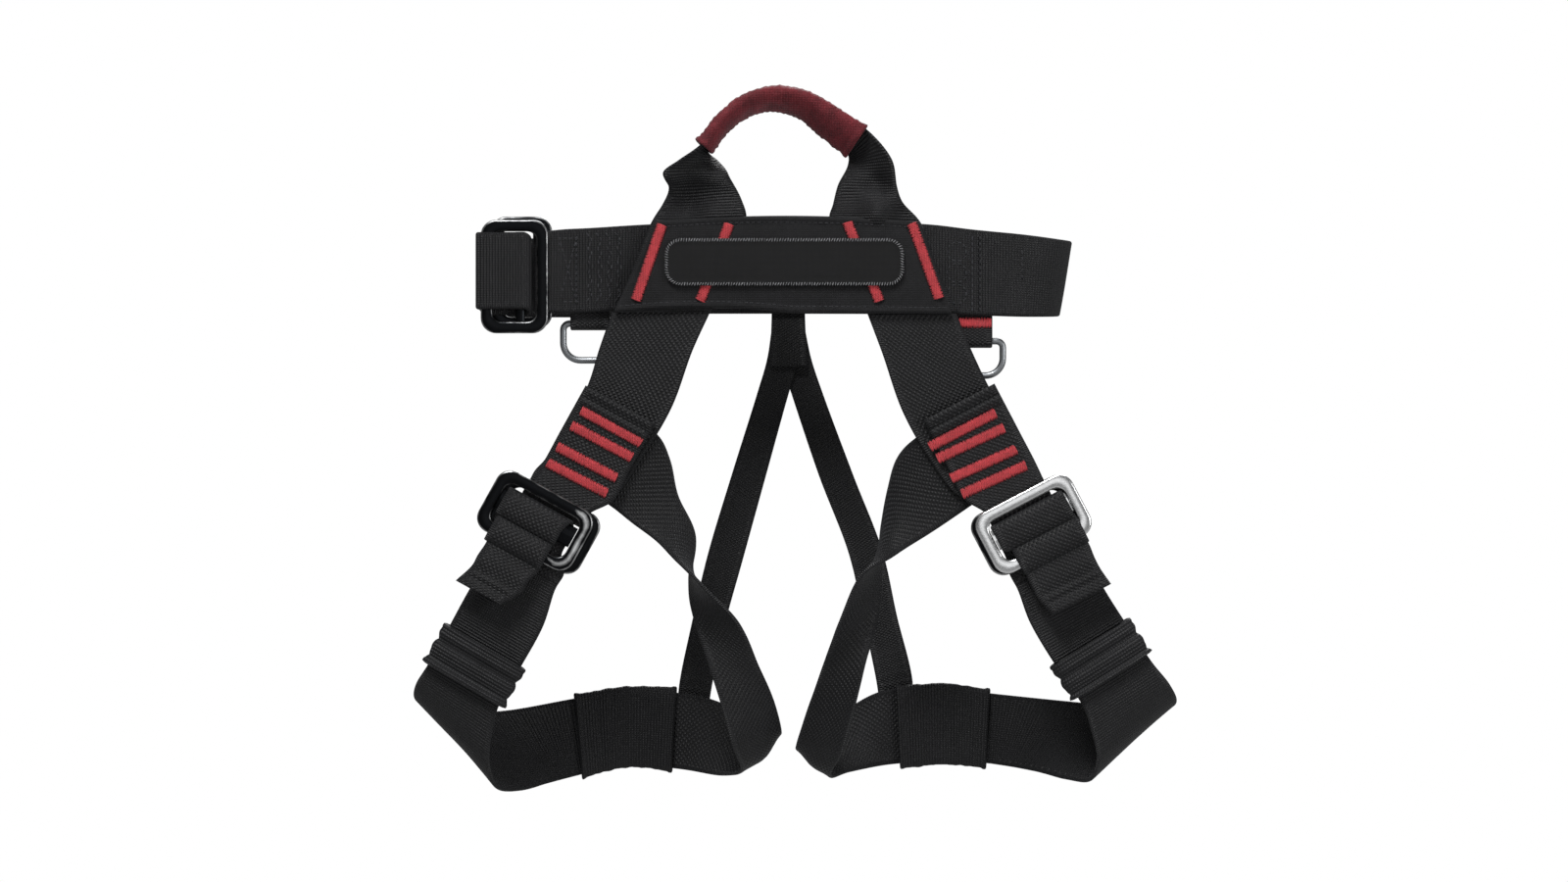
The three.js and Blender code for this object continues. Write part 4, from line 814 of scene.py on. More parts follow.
# Edge stations of each leg's straps, outer edge first, and the places inside its buckle: a
# middle and a width along the buckle, whose own Z runs up the strap.
LEGS = {
    "left": {
        "buckle": (-129.6, -214.2, 29), "steel": "black steel",
        # The left plate's right rail gets a band of painted highlight along its front
        "wear_and_painted_highlight": lambda x, z: 1.25 * smoothstep(14, 21, x),
        "frame_shift": 1, "plate_shift": -3, "flap": (6.6, 41.6), "fold": (2, 36),
        "web": [(4.5, 38), (-2.6, 40.4), (-5.6, 35), (-5, 33)],
        "tail": [(-4.2, 31), (-5.5, 29.5), (-10.3, 27)], "tail_end": -47,
        "upper": [
            ((-92.6, 0, -104.8), (-41.6, 0, -104.8)), ((-99, 0, -123), (-50.6, 0, -124.5)),
            ((-105.4, 0, -143), (-61.4, 0, -154)), ((-117, 0, -163.6), (-77, 0, -180.6)),
            ((-127.4, 0, -181), (-90.6, 0, -200)),
        ],
        "tacks": [
            ((-108.1, -155.8), (-77.6, -172.4)), ((-113.2, -163.6), (-82.4, -180)),
            ((-120.6, -174.6), (-90.4, -190.6)), ((-125.6, -183), (-95.4, -198.6)),
        ],
        "inner": [
            ((-105, 2.9, -148.4), (-127.8, 2.9, -184.4)), ((-69.4, 2.9, -167.6), (-94, 2.9, -205)),
            ((-62.4, 5, -181), (-82.5, 2.6, -214)), ((-58.6, 10, -200), (-70, 0, -223.4)),
            ((-50.4, 17, -221), (-58.6, -6, -235)), ((-53, 20, -243), (-43.6, -8, -249)),
            ((-51, 15, -263), (-27, -2, -266)), ((-42, 6, -289), (-15.6, 12, -290)),
            ((-35, 4, -310), (-8, 24, -308)), ((-29.6, 10, -331), (-4.4, 33, -324)),
            ((-25.6, 25, -344.6), (-6.4, 44, -325)), ((-36, 42, -348.4), (-21, 50.6, -317)),
            ((-56, 52.6, -346), (-49, 53.4, -306.6)), ((-87, 54, -342.6), (-87, 54, -304.4)),
        ],
        "lower": [
            ((-166, 0, -247.4), (-128.4, 0, -268)), ((-179, 1.6, -271), (-142, 1.6, -292.6)),
            ((-188.6, 3.4, -288), (-151.6, 3.4, -309.6)), ((-195, 8, -298), (-155.6, 7, -325)),
            ((-196.6, 18, -305.4), (-157, 12, -341)), ((-190.6, 30, -309.6), (-153, 22, -353.6)),
            ((-176, 39.6, -313), (-142, 34, -355.8)), ((-154.6, 46, -314.6), (-127, 45, -352.4)),
            ((-113, 52.6, -308), (-108.6, 52.6, -348)), ((-87.8, 54, -304.4), (-87.8, 54, -342.6)),
        ],
        "keeper": [
            ((-177.2, 1.4, -267.8), (-140.2, 1.4, -289.4)),
            ((-188.2, 3.2, -287.2), (-151.2, 3.2, -308.8)),
        ],
        "sleeve": [
            ((-114, 52.4, -308.2), (-110, 52.4, -348.4)), ((-87.4, 54, -304.4), (-87.4, 54, -342.6)),
            ((-60.4, 53.7, -304.6), (-62.6, 53.4, -344.6)),
        ],
        "rear": [
            ((-9.6, REAR_Y + 1.9, -112), (8.2, REAR_Y + 1.9, -112)),
            ((-12, REAR_Y + 2, -128), (5, REAR_Y + 2, -128)),
            ((-17.2, REAR_Y + 1.6, -146), (-0.4, REAR_Y + 1.6, -146)),
            ((-31, 57, -190), (-12.6, 57, -190)), ((-43.6, 57.4, -232), (-25, 57.4, -235)),
            ((-52, 57.8, -268), (-34.6, 57.8, -270)), ((-59, 58.2, -303), (-42, 58.2, -306)),
            ((-59.6, 58.2, -322), (-44, 58.2, -324)),
        ],
    },
    "right": {
        "buckle": (126.5, -214.6, -27.6), "steel": "bright steel",
        "frame_shift": -2.4, "plate_shift": 0, "flap": (-5, 42), "fold": (-2, 35),
        "web": [(-3, 40), (0, 41.6), (0.2, 41.6), (2.6, 38)],
        "tail": [(2.4, 36.6), (2, 36), (3.9, 34.6)], "tail_end": -46,
        "upper": [
            ((86.6, 0, -104.8), (40.2, 0, -104.8)), ((94, 0, -123), (48, 0, -125.5)),
            ((104, 0, -144), (58.6, 0, -156)), ((115.4, 0, -163.6), (73, 0, -181.6)),
            ((124.4, 0, -179.6), (87, 0, -199.6)),
        ],
        "tacks": [
            ((73, -174.5), (106.6, -157.1)), ((77, -180.6), (111, -164.8)),
            ((84.2, -190.8), (117.3, -176)), ((89.8, -199), (122.4, -184.2)),
        ],
        "inner": [
            ((101, 2.9, -151.4), (121.6, 2.9, -186)), ((65.4, 2.9, -170), (90.4, 2.9, -208)),
            ((56, 6, -180), (74, 2.6, -219)), ((51, 12, -196), (60.6, -1, -227)),
            ((47.4, 18, -219), (52, -7, -232)), ((48, 20, -241), (37, -8, -241)),
            ((46, 15, -262), (25, -2, -266)), ((39.4, 6, -289), (16.6, 12, -291)),
            ((33.6, 4, -313), (9.6, 24, -313)), ((27.6, 10, -334), (4.6, 33, -330)),
            ((22, 25, -346.6), (6.2, 44, -333)), ((32, 42, -346.4), (22, 50.6, -320)),
            ((52, 52.6, -343.4), (48, 53.4, -304.6)), ((82, 54, -341), (82, 54, -302.6)),
        ],
        "lower": [
            ((162.8, 0, -247), (125, 0, -266)), ((176.4, 1.6, -268.4), (140, 1.6, -291)),
            ((189, 3.4, -287), (152.6, 3.4, -309.6)), ((198, 8, -298), (157.6, 7, -324)),
            ((202.6, 18, -307.4), (160.6, 12, -337.6)), ((198, 30, -311), (157, 22, -349.6)),
            ((184, 39.6, -312.6), (146, 34, -350)), ((160, 46, -310.6), (130, 45, -346.4)),
            ((108, 52.6, -305.6), (105, 52.6, -342.6)), ((82.8, 54, -302.6), (82.8, 54, -341)),
        ],
        "keeper": [
            ((174.4, 1.4, -265.2), (138, 1.4, -287.8)), ((185.6, 3, -282.2), (149.2, 3, -304.8)),
        ],
        "sleeve": [
            ((106, 52.5, -305.6), (104, 52.5, -342.8)), ((82.4, 54, -302.6), (82.4, 54, -341)),
            ((57, 53.7, -303.8), (59, 53.4, -343)),
        ],
        "rear": [
            ((8.2, REAR_Y + 3.6, -112), (-9.6, REAR_Y + 3.6, -112)),
            ((11.6, REAR_Y + 3.7, -128), (-5, REAR_Y + 3.7, -128)),
            ((17.6, REAR_Y + 3.4, -146), (0.8, REAR_Y + 3.4, -146)),
            ((34, 58, -190), (15.6, 58, -190)), ((49.4, 58, -230), (31.6, 58, -232)),
            ((57, 58.2, -264), (39.6, 58.2, -268)), ((65.6, 58.8, -301), (47, 58.8, -305)),
            ((64, 58.8, -320), (48, 58.8, -322)),
        ],
    },
}

LEG_FRAME_Y = -0.8
LEG_FOLD = STEEL / 2 + GAP + WEB / 2
LEG_PLATE_Y = LEG_FRAME_Y - STEEL - 2 * GAP - WEB
RAIL_INNER = LEG_BUCKLE[1] / 2 - RAIL
FLAP_Y = PANEL_BACK - WEB / 2 - 0.2
FLAP_TOP = 74
LEG_BAR_Z = 1.5
ROUND_BAR = 5.5 + GAP + WEB / 2
BEHIND_RAIL_Y = LEG_PLATE_Y + STEEL / 2 + GAP + WEB / 2
OVER_RAIL_Y = LEG_PLATE_Y - STEEL / 2 - GAP - WEB / 2
TAIL_TOP = -21


def buckle_matrix(side, y=0.0, shift=0.0):
    """From a leg buckle's own frame to the saddle's."""
    x, z, tilt = LEGS[side]["buckle"]
    turned = Matrix.Rotation(math.radians(tilt), 4, "Y")
    return Matrix.Translation((x, 0, z)) @ turned @ Matrix.Translation((shift, y, 0))


def placed(side, stations):
    matrix = buckle_matrix(side)
    return [tuple(matrix @ Vector(point) for point in station) for station in stations]


def lifted_to_front(side, stations):
    """Edges in the order that puts the strap's lifted face outside its loop."""
    return stations if side == "left" else [(b, a) for a, b in stations]


def folded_stations():
    """The tie-in web inside its sleeve, folded lengthwise and turned a little more at each station."""
    stations = []
    last = len(SLEEVED_RUN) - 1
    for index, (x, z, turned) in enumerate(SLEEVED_RUN):
        before, after = SLEEVED_RUN[max(0, index - 1)], SLEEVED_RUN[min(last, index + 1)]
        out = Vector((before[1] - after[1], after[0] - before[0])).normalized()
        rise = FOLDED_HALF_WIDTH * math.sin(math.radians(turned))
        depth = FOLDED_HALF_WIDTH * math.cos(math.radians(turned))
        stations.append((
            (x + out.x * rise, -depth, z + out.y * rise),
            (x - out.x * rise, depth, z - out.y * rise),
        ))
    return stations


def upper_strap(side):
    """Down from the belt, round the buckle frame's upper rail and back up as the sewn flap."""
    leg = LEGS[side]
    fold, flap = leg["fold"], leg["flap"]
    turned = [
        cross_station(*fold, 0, RAIL_INNER + 11),
        cross_station(*fold, LEG_FRAME_Y + LEG_FOLD, RAIL_INNER + 6),
        *(cross_station(*fold, y, z) for y, z in arc(LEG_FRAME_Y, RAIL_INNER, LEG_FOLD, 0, -180, 8)),
        cross_station(*fold, LEG_FRAME_Y - LEG_FOLD, RAIL_INNER + 5),
        cross_station(*flap, FLAP_Y, RAIL_INNER + 17),
        cross_station(*flap, FLAP_Y, 45),
        cross_station(*flap, FLAP_Y, 60),
        cross_station(*flap, FLAP_Y, FLAP_TOP),
    ]
    upper = lifted_to_front(side, leg["upper"])
    return Strap([*upper, *placed(side, turned)], 1.8)


def adjuster_strap(side):
    """Up behind the plate's lower rail, over the bar and down the front of the rail."""
    entry, behind, over, front = LEGS[side]["web"]
    deep = STEEL / 2 + GAP + WEB / 2
    front_y = OVER_RAIL_Y
    roll = []
    for step, (y, z) in enumerate(arc(0, 0, 1, 0, 180, 10)):
        middle, width = (a + (b - a) * step / 10 for a, b in zip(behind, over))
        depth = deep + (0.4 if y < 0 else 0)
        roll.append(cross_station(middle, width, LEG_PLATE_Y + y * depth, LEG_BAR_Z + z * ROUND_BAR))
    stations = [
        cross_station(*entry, BEHIND_RAIL_Y + 0.5, -23.5),
        cross_station(*entry, BEHIND_RAIL_Y, -17),
        cross_station(*behind, BEHIND_RAIL_Y, -9),
        *roll,
        cross_station(*over, front_y - 0.3, -2.4),
        cross_station(*over, front_y + 0.6, -5.2),
        cross_station(*front, front_y + 1.5, -6.9),
        cross_station(*front, front_y + 0.2, -8.6),
        cross_station(*front, front_y - 1.0, -11.2),
        cross_station(*front, front_y - 1.4, -14.6),
        cross_station(*front, front_y - 0.6, -18.4),
        cross_station(*front, front_y + 0.9, -20.8),
    ]
    return Strap(placed(side, stations), 1.2)


def tail_strap(side):
    """The free end that hangs in front of the lower strap."""
    leg = LEGS[side]
    y, end = OVER_RAIL_Y + 0.8, leg["tail_end"]
    first, middle, last = leg["tail"]
    stations = [
        cross_station(*first, y + 0.3, TAIL_TOP),
        cross_station(*first, y + 0.2, TAIL_TOP - 2.5),
        cross_station(*middle, y - 0.8, TAIL_TOP - 9),
        cross_station(*middle, y - 0.2, TAIL_TOP - 15),
        cross_station(*last, y - 1.2, end),
    ]
    return Strap(placed(side, stations), 1.2)


def lower_strap(side):
    """From behind the plate down to the outer corner, round it and back to the thigh sleeve."""
    entry = LEGS[side]["web"][0]
    top = placed(side, [
        cross_station(*entry, BEHIND_RAIL_Y + 0.6, -20.6),
        cross_station(*entry, BEHIND_RAIL_Y + 1.2, -27),
    ])
    return Strap([*top, *lifted_to_front(side, LEGS[side]["lower"])], 2.0)


# ---------------------------------------------------------------- making the pieces


def dress(piece, slot, *nodes, ride=None, blend=None):
    """Hides the nodes the piece stands for, and parents the piece to the body it rides with, or bakes
    its place into its mesh when it is given a blend instead. The slot is not used.
    """
    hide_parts(*nodes)
    if blend:
        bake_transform(piece)
    else:
        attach(piece, ride)


def make_waist_belt():
    strap = Strap(BELT_STATIONS, 2.2)

    def drift(length, share):
        return wrinkle(length, share, 26, 0.5, 1)
    belt = ribbon("waist_belt_webbing", strap, BELT, finish("waist webbing"), drift)
    dress(belt, "black_webbing", "waist_belt", ride="belt")
    path = BELT_END_PATH
    turn = OVER_PLATE_COUNT
    tops = [-64 if at < 4 else -63 - 3 * smoothstep(turn, turn + 6, at) for at in range(len(path))]
    stations = [belt_station(x, y, top, top - 40) for (x, y), top in zip(path, tops)]
    end = Strap(stations, 1.6, strap.end)

    def end_relief(length, share, face):
        return 0.25 * noise.noise(Vector((length / 2.2, 0, 4.4)))
    tail = ribbon("waist_strap_end", end, BELT, finish("waist webbing"), None, end_relief)
    dress(tail, "black_webbing", "waist_adjuster_web", "waist_tail",
          blend=("belt", "waist_plate", (-160, 45, -85), (-160, 22, -85)))


def make_waist_buckle():
    behind = Matrix.Translation((FRAME_X, FRAME_Y, WAIST_FRAME_Z))
    piece = steel_frame("waist_frame_steel", *WAIST_FRAME, finish("black steel"), behind)
    dress(piece, "black_steel", "waist_buckle_frame", ride="belt")
    before = Matrix.Translation((PLATE_X, PLATE_Y, WAIST_PLATE_Z))
    piece = steel_frame("waist_plate_steel", *WAIST_PLATE, finish("black steel"), before)
    dress(piece, "black_steel", "waist_buckle_plate", ride="waist_plate")
    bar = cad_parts["waist_buckle_bar"]
    bar.data.materials.clear()
    bar.data.materials.append(finish("black steel"))


PANEL_TOP = ((-69.5, -57.2), (0, -51.5), (67, -57.4))
PANEL_BOTTOM = ((-91.8, -105), (-46, -99.5), (0, -105), (84.5, -105.6))
PANEL_TACKS = {
    "panel_tack_left_outer": ((-66.5, -59.5), (-79.8, -98)),
    "panel_tack_left_inner": ((-31.6, -59), (-46.4, -98.3)),
    "panel_tack_right_inner": ((30, -58.2), (46.4, -98.5)),
    "panel_tack_right_outer": ((63.6, -58.8), (77.4, -97)),
}


def quadratic(a, b, c, t):
    return tuple(p * (1 - t) ** 2 + 2 * q * t * (1 - t) + r * t * t for p, q, r in zip(a, b, c))


def line_distance(point, start, end):
    """How far a point is from a stretch, in X and Z."""
    (px, pz), (ax, az), (bx, bz) = point, start, end
    dx, dz = bx - ax, bz - az
    t = max(0.0, min(1.0, ((px - ax) * dx + (pz - az) * dz) / (dx * dx + dz * dz)))
    return math.hypot(px - ax - dx * t, pz - az - dz * t)


def panel_point(a, b):
    """A place on the panel: a from left to right, b from top to bottom."""
    top = quadratic(*PANEL_TOP, a)
    left, control, joint, right = PANEL_BOTTOM
    share = (0 - left[0]) / (right[0] - left[0])
    if a < share:
        bottom = quadratic(left, control, joint, a / share)
    else:
        t = (a - share) / (1 - share)
        bottom = tuple(p + (q - p) * t for p, q in zip(joint, right))
    return tuple(p + (q - p) * b for p, q in zip(top, bottom))


# About how many millimetres of the panel one share across and one share down stand for
PANEL_WIDTH, PANEL_HEIGHT = 160, 48
HEM_SEAM = 3.6  # of the seam, from the panel's edge


def make_front_panel():
    columns, rows = 150, 44
    verts, uvs = [], []
    for y_side in (0, 1):
        for row in range(rows + 1):
            for column in range(columns + 1):
                a, b = column / columns, row / rows
                x, z = panel_point(a, b)
                from_edge = min(b, 1 - b) * PANEL_HEIGHT
                rim = min(from_edge, min(a, 1 - a) * PANEL_WIDTH)
                round_rim = math.sqrt(max(0.0, 1 - max(0.0, 1 - rim / 1.3) ** 2))
                from_tack = min(line_distance((x, z), *ends) for ends in PANEL_TACKS.values())
                pinch = max(0.0, 1 - from_tack / 6)
                sewn = max(0.0, 1 - abs(rim - HEM_SEAM) / 0.9)
                hem = 0.7 * (1 - smoothstep(2.6, 4.2, from_edge))
                soft = 0.5 * smoothstep(2, 12, rim) + 0.35 * noise.noise(Vector((x / 13, z / 11, 3.1)))
                front = PANEL_FRONT - soft - hem + 0.55 * pinch ** 2 + 0.6 * sewn
                middle = (front + PANEL_BACK) / 2
                y = middle + ((front if y_side == 0 else PANEL_BACK) - middle) * max(round_rim, 0.15)
                verts.append((x, y, z))
                uvs.append((x * MM, z * MM))
    size = columns + 1
    back = size * (rows + 1)
    faces = []
    for row in range(rows):
        for column in range(columns):
            at = row * size + column
            quad = (at, at + 1, at + size + 1, at + size)
            faces.append(quad)
            faces.append(tuple(back + corner for corner in reversed(quad)))
    rim = [*range(size), *(row * size + columns for row in range(1, rows + 1)),
           *(rows * size + column for column in reversed(range(columns))),
           *(row * size for row in reversed(range(1, rows)))]
    for first, second in zip(rim, rim[1:] + rim[:1]):
        faces.append((second, first, back + first, back + second))
    panel = outward(new_piece("front_panel_cloth", verts, faces, finish("cover cloth"), uvs))
    dress(panel, "cover_cloth", "front_panel", ride="belt")


def make_label():
    centre_x, centre_z, width, height, corner = -2.8, -78.5, 124, 24.5, 8
    rings = [(0.0, LABEL_BACK), (0.0, LABEL_BACK - 0.5), (0.35, LABEL_FRONT + 0.25), (1.2, LABEL_FRONT),
             (2.6, LABEL_FRONT + 0.35), (4.0, LABEL_FRONT + 0.3)]
    verts = []
    for inset, y in rings:
        outline = rounded_outline(width - 2 * inset, height - 2 * inset, corner - inset, 8, 40)
        verts += [(centre_x + x, y, centre_z + z) for x, z in outline]
    size = len(verts) // len(rings)
    faces = rings_joined(range(len(rings)), size)
    faces.append(tuple(range(size)))
    faces.append(tuple((len(rings) - 1) * size + at for at in range(size)))
    label = outward(new_piece("label_cloth_patch", verts, faces, finish("label cloth")))
    dress(label, "label_cloth", "label_patch", ride="belt")
    outline = rounded_outline(width - 1.6, height - 1.6, corner - 0.8, 8, 40)
    around = [(centre_x + x, centre_z + z) for x, z in [*outline, outline[0]]]
    edge = facing_line(around, LABEL_FRONT + 0.05)
    thread = stitched("label_overlock", [edge], finish("grey thread"), 1.35, 2.3, 0.5, 68, 16, 5)
    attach(thread, "belt")


# Sleeves: how round the section is, from a box at 0 to an ellipse at 1, its thickness over
# all, how far it reaches past the webbing's edges, and the cloth's own thickness
LOOP_SLEEVE = (0.75, 9.6, 2.0, 1.0)
THIGH_SLEEVE = (0.35, 6.6, 2.4, 1.0)
KEEPER = (0.35, 6.6, 2.0, 1.0)


def make_tie_in_loop():
    folded = folded_stations()
    strap = Strap([*LOOP_LEFT, *folded, *LOOP_RIGHT], 2.0)

    def drift(length, share):
        return wrinkle(length, share, 14, 0.7, 2)
    dents = [
        ((-53, 0, -49), 11, 7.5), ((-62, -2, -36), 6, -3.0),
        ((-36, 0, -33), 7, -3.0), ((-44, -1, -54), 7, -2.5),
        ((46, 0, -53), 8, -6.0), ((44, -1, -38), 7, 5.0),
        ((32, 0, -44), 6, 2.0), ((58, 0, -54), 6, 2.5),
    ]
    web = ribbon("tie_in_webbing", strap, WEB, finish("waist webbing"), drift, dents=dents)
    dress(web, "black_webbing", "tie_in_web", ride="belt")
    core = Strap(folded, 1.5)

    def relief(length, angle):
        around = Vector((length / 4.2, math.sin(angle) * 1.6, math.cos(angle) * 1.3))
        creases = 0.55 * noise.noise(around)
        ribs = 0.22 * math.sin(length * 2 * math.pi / 3.4)
        rim = 0.6 * (band(length, -1, 2.2, 0.6) + band(length, core.end - 2.2, core.end + 1, 0.6))
        return creases + ribs + rim
    cloth = finish("sleeve cloth")
    sleeve = tube_round("loop_sleeve_cloth", core, *LOOP_SLEEVE, cloth, relief, 44)
    dress(sleeve, "red_sleeve", "loop_sleeve", ride="belt")


GEAR_RINGS = {
    "left": {"middle": -103.6, "bar": -110.2, "bottom": -129.4, "tab": -104.2},
    "right": {"middle": 96.6, "bar": -119.4, "bottom": -137.4, "tab": 95.4},
}
RING_Y = 8
RING_HALF_WIDTH = 14.6
RING_CORNER = 3.4
TAB_WIDTH = 20.5
TAB_TOP, TAB_STRAIGHT = -78, -95  # the tab's ends, and where its two layers start to part


def make_gear_rings():
    for side, ring in GEAR_RINGS.items():
        bend = RING_HALF_WIDTH - 5.5
        floor = ring["bottom"] + bend
        shoulder = ring["bar"] - RING_CORNER
        outline = [
            *((x, ring["bar"]) for x in (-8, -4, 0, 4, 8)),
            *arc(RING_HALF_WIDTH - RING_CORNER, shoulder, RING_CORNER, 90, 0, 6),
            *arc(RING_HALF_WIDTH - bend, floor, bend, 0, -90, 10),
            *arc(-RING_HALF_WIDTH + bend, floor, bend, -90, -180, 10),
            *arc(-RING_HALF_WIDTH + RING_CORNER, shoulder, RING_CORNER, 180, 90, 6),
        ]
        outline = [(ring["middle"] + x, z) for x, z in outline]
        piece = wire_ring(f"{side}_ring_wire", outline, RING_WIRE / 2, finish("grey steel"), RING_Y)
        dress(piece, "ring_steel", f"{side}_gear_ring", ride=f"{side}_ring")
        radius = RING_WIRE / 2 + GAP + NARROW_WEB / 2
        path = [
            (RING_Y - radius, TAB_TOP), (RING_Y - radius, TAB_STRAIGHT),
            *arc(RING_Y, ring["bar"], radius, 180, 360, 10),
            (RING_Y + radius, TAB_STRAIGHT), (RING_Y + radius, TAB_TOP),
        ]
        strap = Strap([cross_station(ring["tab"], TAB_WIDTH, y, z) for y, z in path], 1.2)
        tab = ribbon(f"{side}_tab_webbing", strap, NARROW_WEB, finish("narrow webbing"))
        dress(tab, "narrow_webbing", f"{side}_ring_tab", ride="belt")


def make_rear_straps():
    trunk = Strap([
        *(((-9.6, REAR_Y, z), (8.2, REAR_Y, z)) for z in (-70, -90, -105)),
        ((-10.6, REAR_Y + 0.2, -132), (9.4, REAR_Y + 0.2, -132)),
    ], 2.0)
    piece = ribbon("rear_trunk_webbing", trunk, NARROW_WEB, finish("narrow webbing"))
    dress(piece, "narrow_webbing", "rear_strap_trunk", ride="belt")
    for side in LEGS:
        strap = Strap(LEGS[side]["rear"], 2.0)

        def relief(length, share, face, end=strap.end):
            rungs = 0.5 + 0.5 * math.cos(length * 2 * math.pi / 5.2)
            return 0.9 * band(length, end - 38, end - 2, 1.0) * rungs
        woven = finish("narrow webbing")
        piece = ribbon(f"{side}_rear_webbing", strap, NARROW_WEB, woven, None, relief)
        dress(piece, "narrow_webbing", f"{side}_rear_strap",
              blend=("belt", f"{side}_leg", (0, 56, -140), (0, 57, -300)))


def make_upper_straps():
    for seed, side in enumerate(LEGS, 3):
        strap = upper_strap(side)

        def relief(length, share, face, end=strap.end):
            if face == 1:
                return 0.0
            hem = 2.0 * band(length, end - 9.2, end + 2, 0.9)
            groove = 2.4 * band(length, end - 5.8, end - 4.0, 0.7)
            return hem - groove

        def drift(length, share, seed=seed):
            return wrinkle(length, share, 30, 0.5, seed) * (1 - smoothstep(60, 90, length))
        piece = ribbon(f"{side}_upper_webbing", strap, WEB, finish("leg webbing"), drift, relief)
        dress(piece, "black_webbing", f"{side}_upper_leg_strap",
              blend=("belt", f"{side}_leg", (0, 0, -104.8), (0, 0, -124)))


def make_inner_straps():
    for seed, side in enumerate(LEGS):
        strap = Strap(LEGS[side]["inner"], 2.0)

        def drift(length, share, seed=seed):
            cup = 1.2 * band(length, 60, 230, 25) * (4 * share * (1 - share) - 0.5)
            return wrinkle(length, share, 22, 0.7, 5 + seed) + cup
        turn = ((-16, 34.5, -335), 11, 3.6) if side == "left" else ((14, 34.5, -340), 11, -3.6)
        piece = ribbon(f"{side}_inner_webbing", strap, WEB, finish("leg webbing"), drift, dents=[turn])
        dress(piece, "black_webbing", f"{side}_inner_leg_strap", ride=f"{side}_leg")


def make_lower_straps():
    for seed, side in enumerate(LEGS):
        strap = lower_strap(side)

        def drift(length, share, seed=seed, end=strap.end):
            ribs = 0.45 * noise.noise(Vector((length / 3.2, share * 0.6, 8.8 + seed)))
            ribs *= smoothstep(end - 90, end - 60, length)
            return wrinkle(length, share, 26, 0.6, 7 + seed) * smoothstep(20, 40, length) + ribs

        def relief(length, share, face):
            return 0.5 * band(length, 21, 22.2, 0.5) if face == 1 else 0.0
        piece = ribbon(f"{side}_lower_webbing", strap, WEB, finish("waist webbing"), drift, relief)
        matrix = buckle_matrix(side)
        start, end = (matrix @ Vector((0, -2, z)) for z in (-44, -24))
        dress(piece, "black_webbing", f"{side}_lower_leg_strap",
              blend=(f"{side}_leg", f"{side}_plate", start, end))


def make_thigh_sleeves():
    for seed, side in enumerate(LEGS):
        strap = Strap(LEGS[side]["sleeve"], 1.4)

        def relief(length, angle, seed=seed, end=strap.end):
            upright = 0.55 * noise.noise(Vector((length / 3.0, math.sin(angle) * 0.5, 2.2 + seed)))
            long_wave = 0.5 * noise.noise(Vector((length / 15, math.cos(angle), 9.1 + seed)))
            rim = 0.5 * (band(length, -1, 1.6, 0.5) + band(length, end - 1.6, end + 1, 0.5))
            return upright + long_wave + rim
        cloth = finish("waist webbing")
        piece = tube_round(f"{side}_thigh_cloth", strap, *THIGH_SLEEVE, cloth, relief, 60)
        dress(piece, "cover_cloth", f"{side}_thigh_sleeve", ride=f"{side}_leg")


def make_keepers():
    for side in LEGS:
        strap = Strap(LEGS[side]["keeper"], 0.7)

        def relief(length, angle, end=strap.end):
            ridges = 1.4 * abs(math.sin(0.4 + length * math.pi / 9.6)) ** 0.8
            ridges += 0.5 * noise.noise(Vector((length / 2.6, 1.7, 0.4)))
            rim = 0.5 * (band(length, -1, 1.5, 0.4) + band(length, end - 1.5, end + 1, 0.4))
            return ridges + rim - 0.2
        elastic = finish("elastic")
        piece = tube_round(f"{side}_keeper_elastic", strap, *KEEPER, elastic, relief, 52)
        dress(piece, "elastic_band", f"{side}_keeper", ride=f"{side}_keeper")


def make_leg_buckles():
    for side, leg in LEGS.items():
        behind = buckle_matrix(side, LEG_FRAME_Y, leg["frame_shift"])
        piece = steel_frame(f"{side}_frame_steel", *LEG_BUCKLE, finish("black steel"), behind)
        dress(piece, "black_steel", f"{side}_leg_buckle_frame", ride=f"{side}_leg")
        slot = leg["steel"].replace(" ", "_")
        before = buckle_matrix(side, LEG_PLATE_Y, leg["plate_shift"])
        steel = finish(leg["steel"])
        # Only the left plate has a painted highlight band along its rail
        piece = steel_frame(f"{side}_plate_steel", *LEG_BUCKLE, steel, before, leg.get("wear_and_painted_highlight"))
        dress(piece, slot, f"{side}_leg_buckle_plate", ride=f"{side}_plate")
        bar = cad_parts[f"{side}_leg_buckle_bar"]
        bar.data.materials.clear()
        bar.data.materials.append(steel)


def make_strap_ends():
    for seed, side in enumerate(LEGS):
        strap = adjuster_strap(side)
        piece = ribbon(f"{side}_adjusting_webbing", strap, WEB, finish("leg webbing"))
        dress(piece, "black_webbing", f"{side}_leg_adjuster_web", ride=f"{side}_plate")
        tail = tail_strap(side)

        def relief(length, share, face, end=tail.end):
            hem = 0.9 * band(length, end - 10, end + 2, 0.6)
            return hem - 1.1 * band(length, end - 6.8, end - 5.6, 0.5)

        def drift(length, share, seed=seed):
            return wrinkle(length, share, 9, 0.8, 11 + seed) * smoothstep(3, 12, length)
        piece = ribbon(f"{side}_tail_webbing", tail, WEB, finish("leg webbing"), drift, relief)
        matrix = buckle_matrix(side)
        start, end = (matrix @ Vector((0, -9, z)) for z in (-22, -27))
        dress(piece, "black_webbing", f"{side}_leg_strap_tail",
              blend=(f"{side}_plate", f"{side}_tail", start, end))


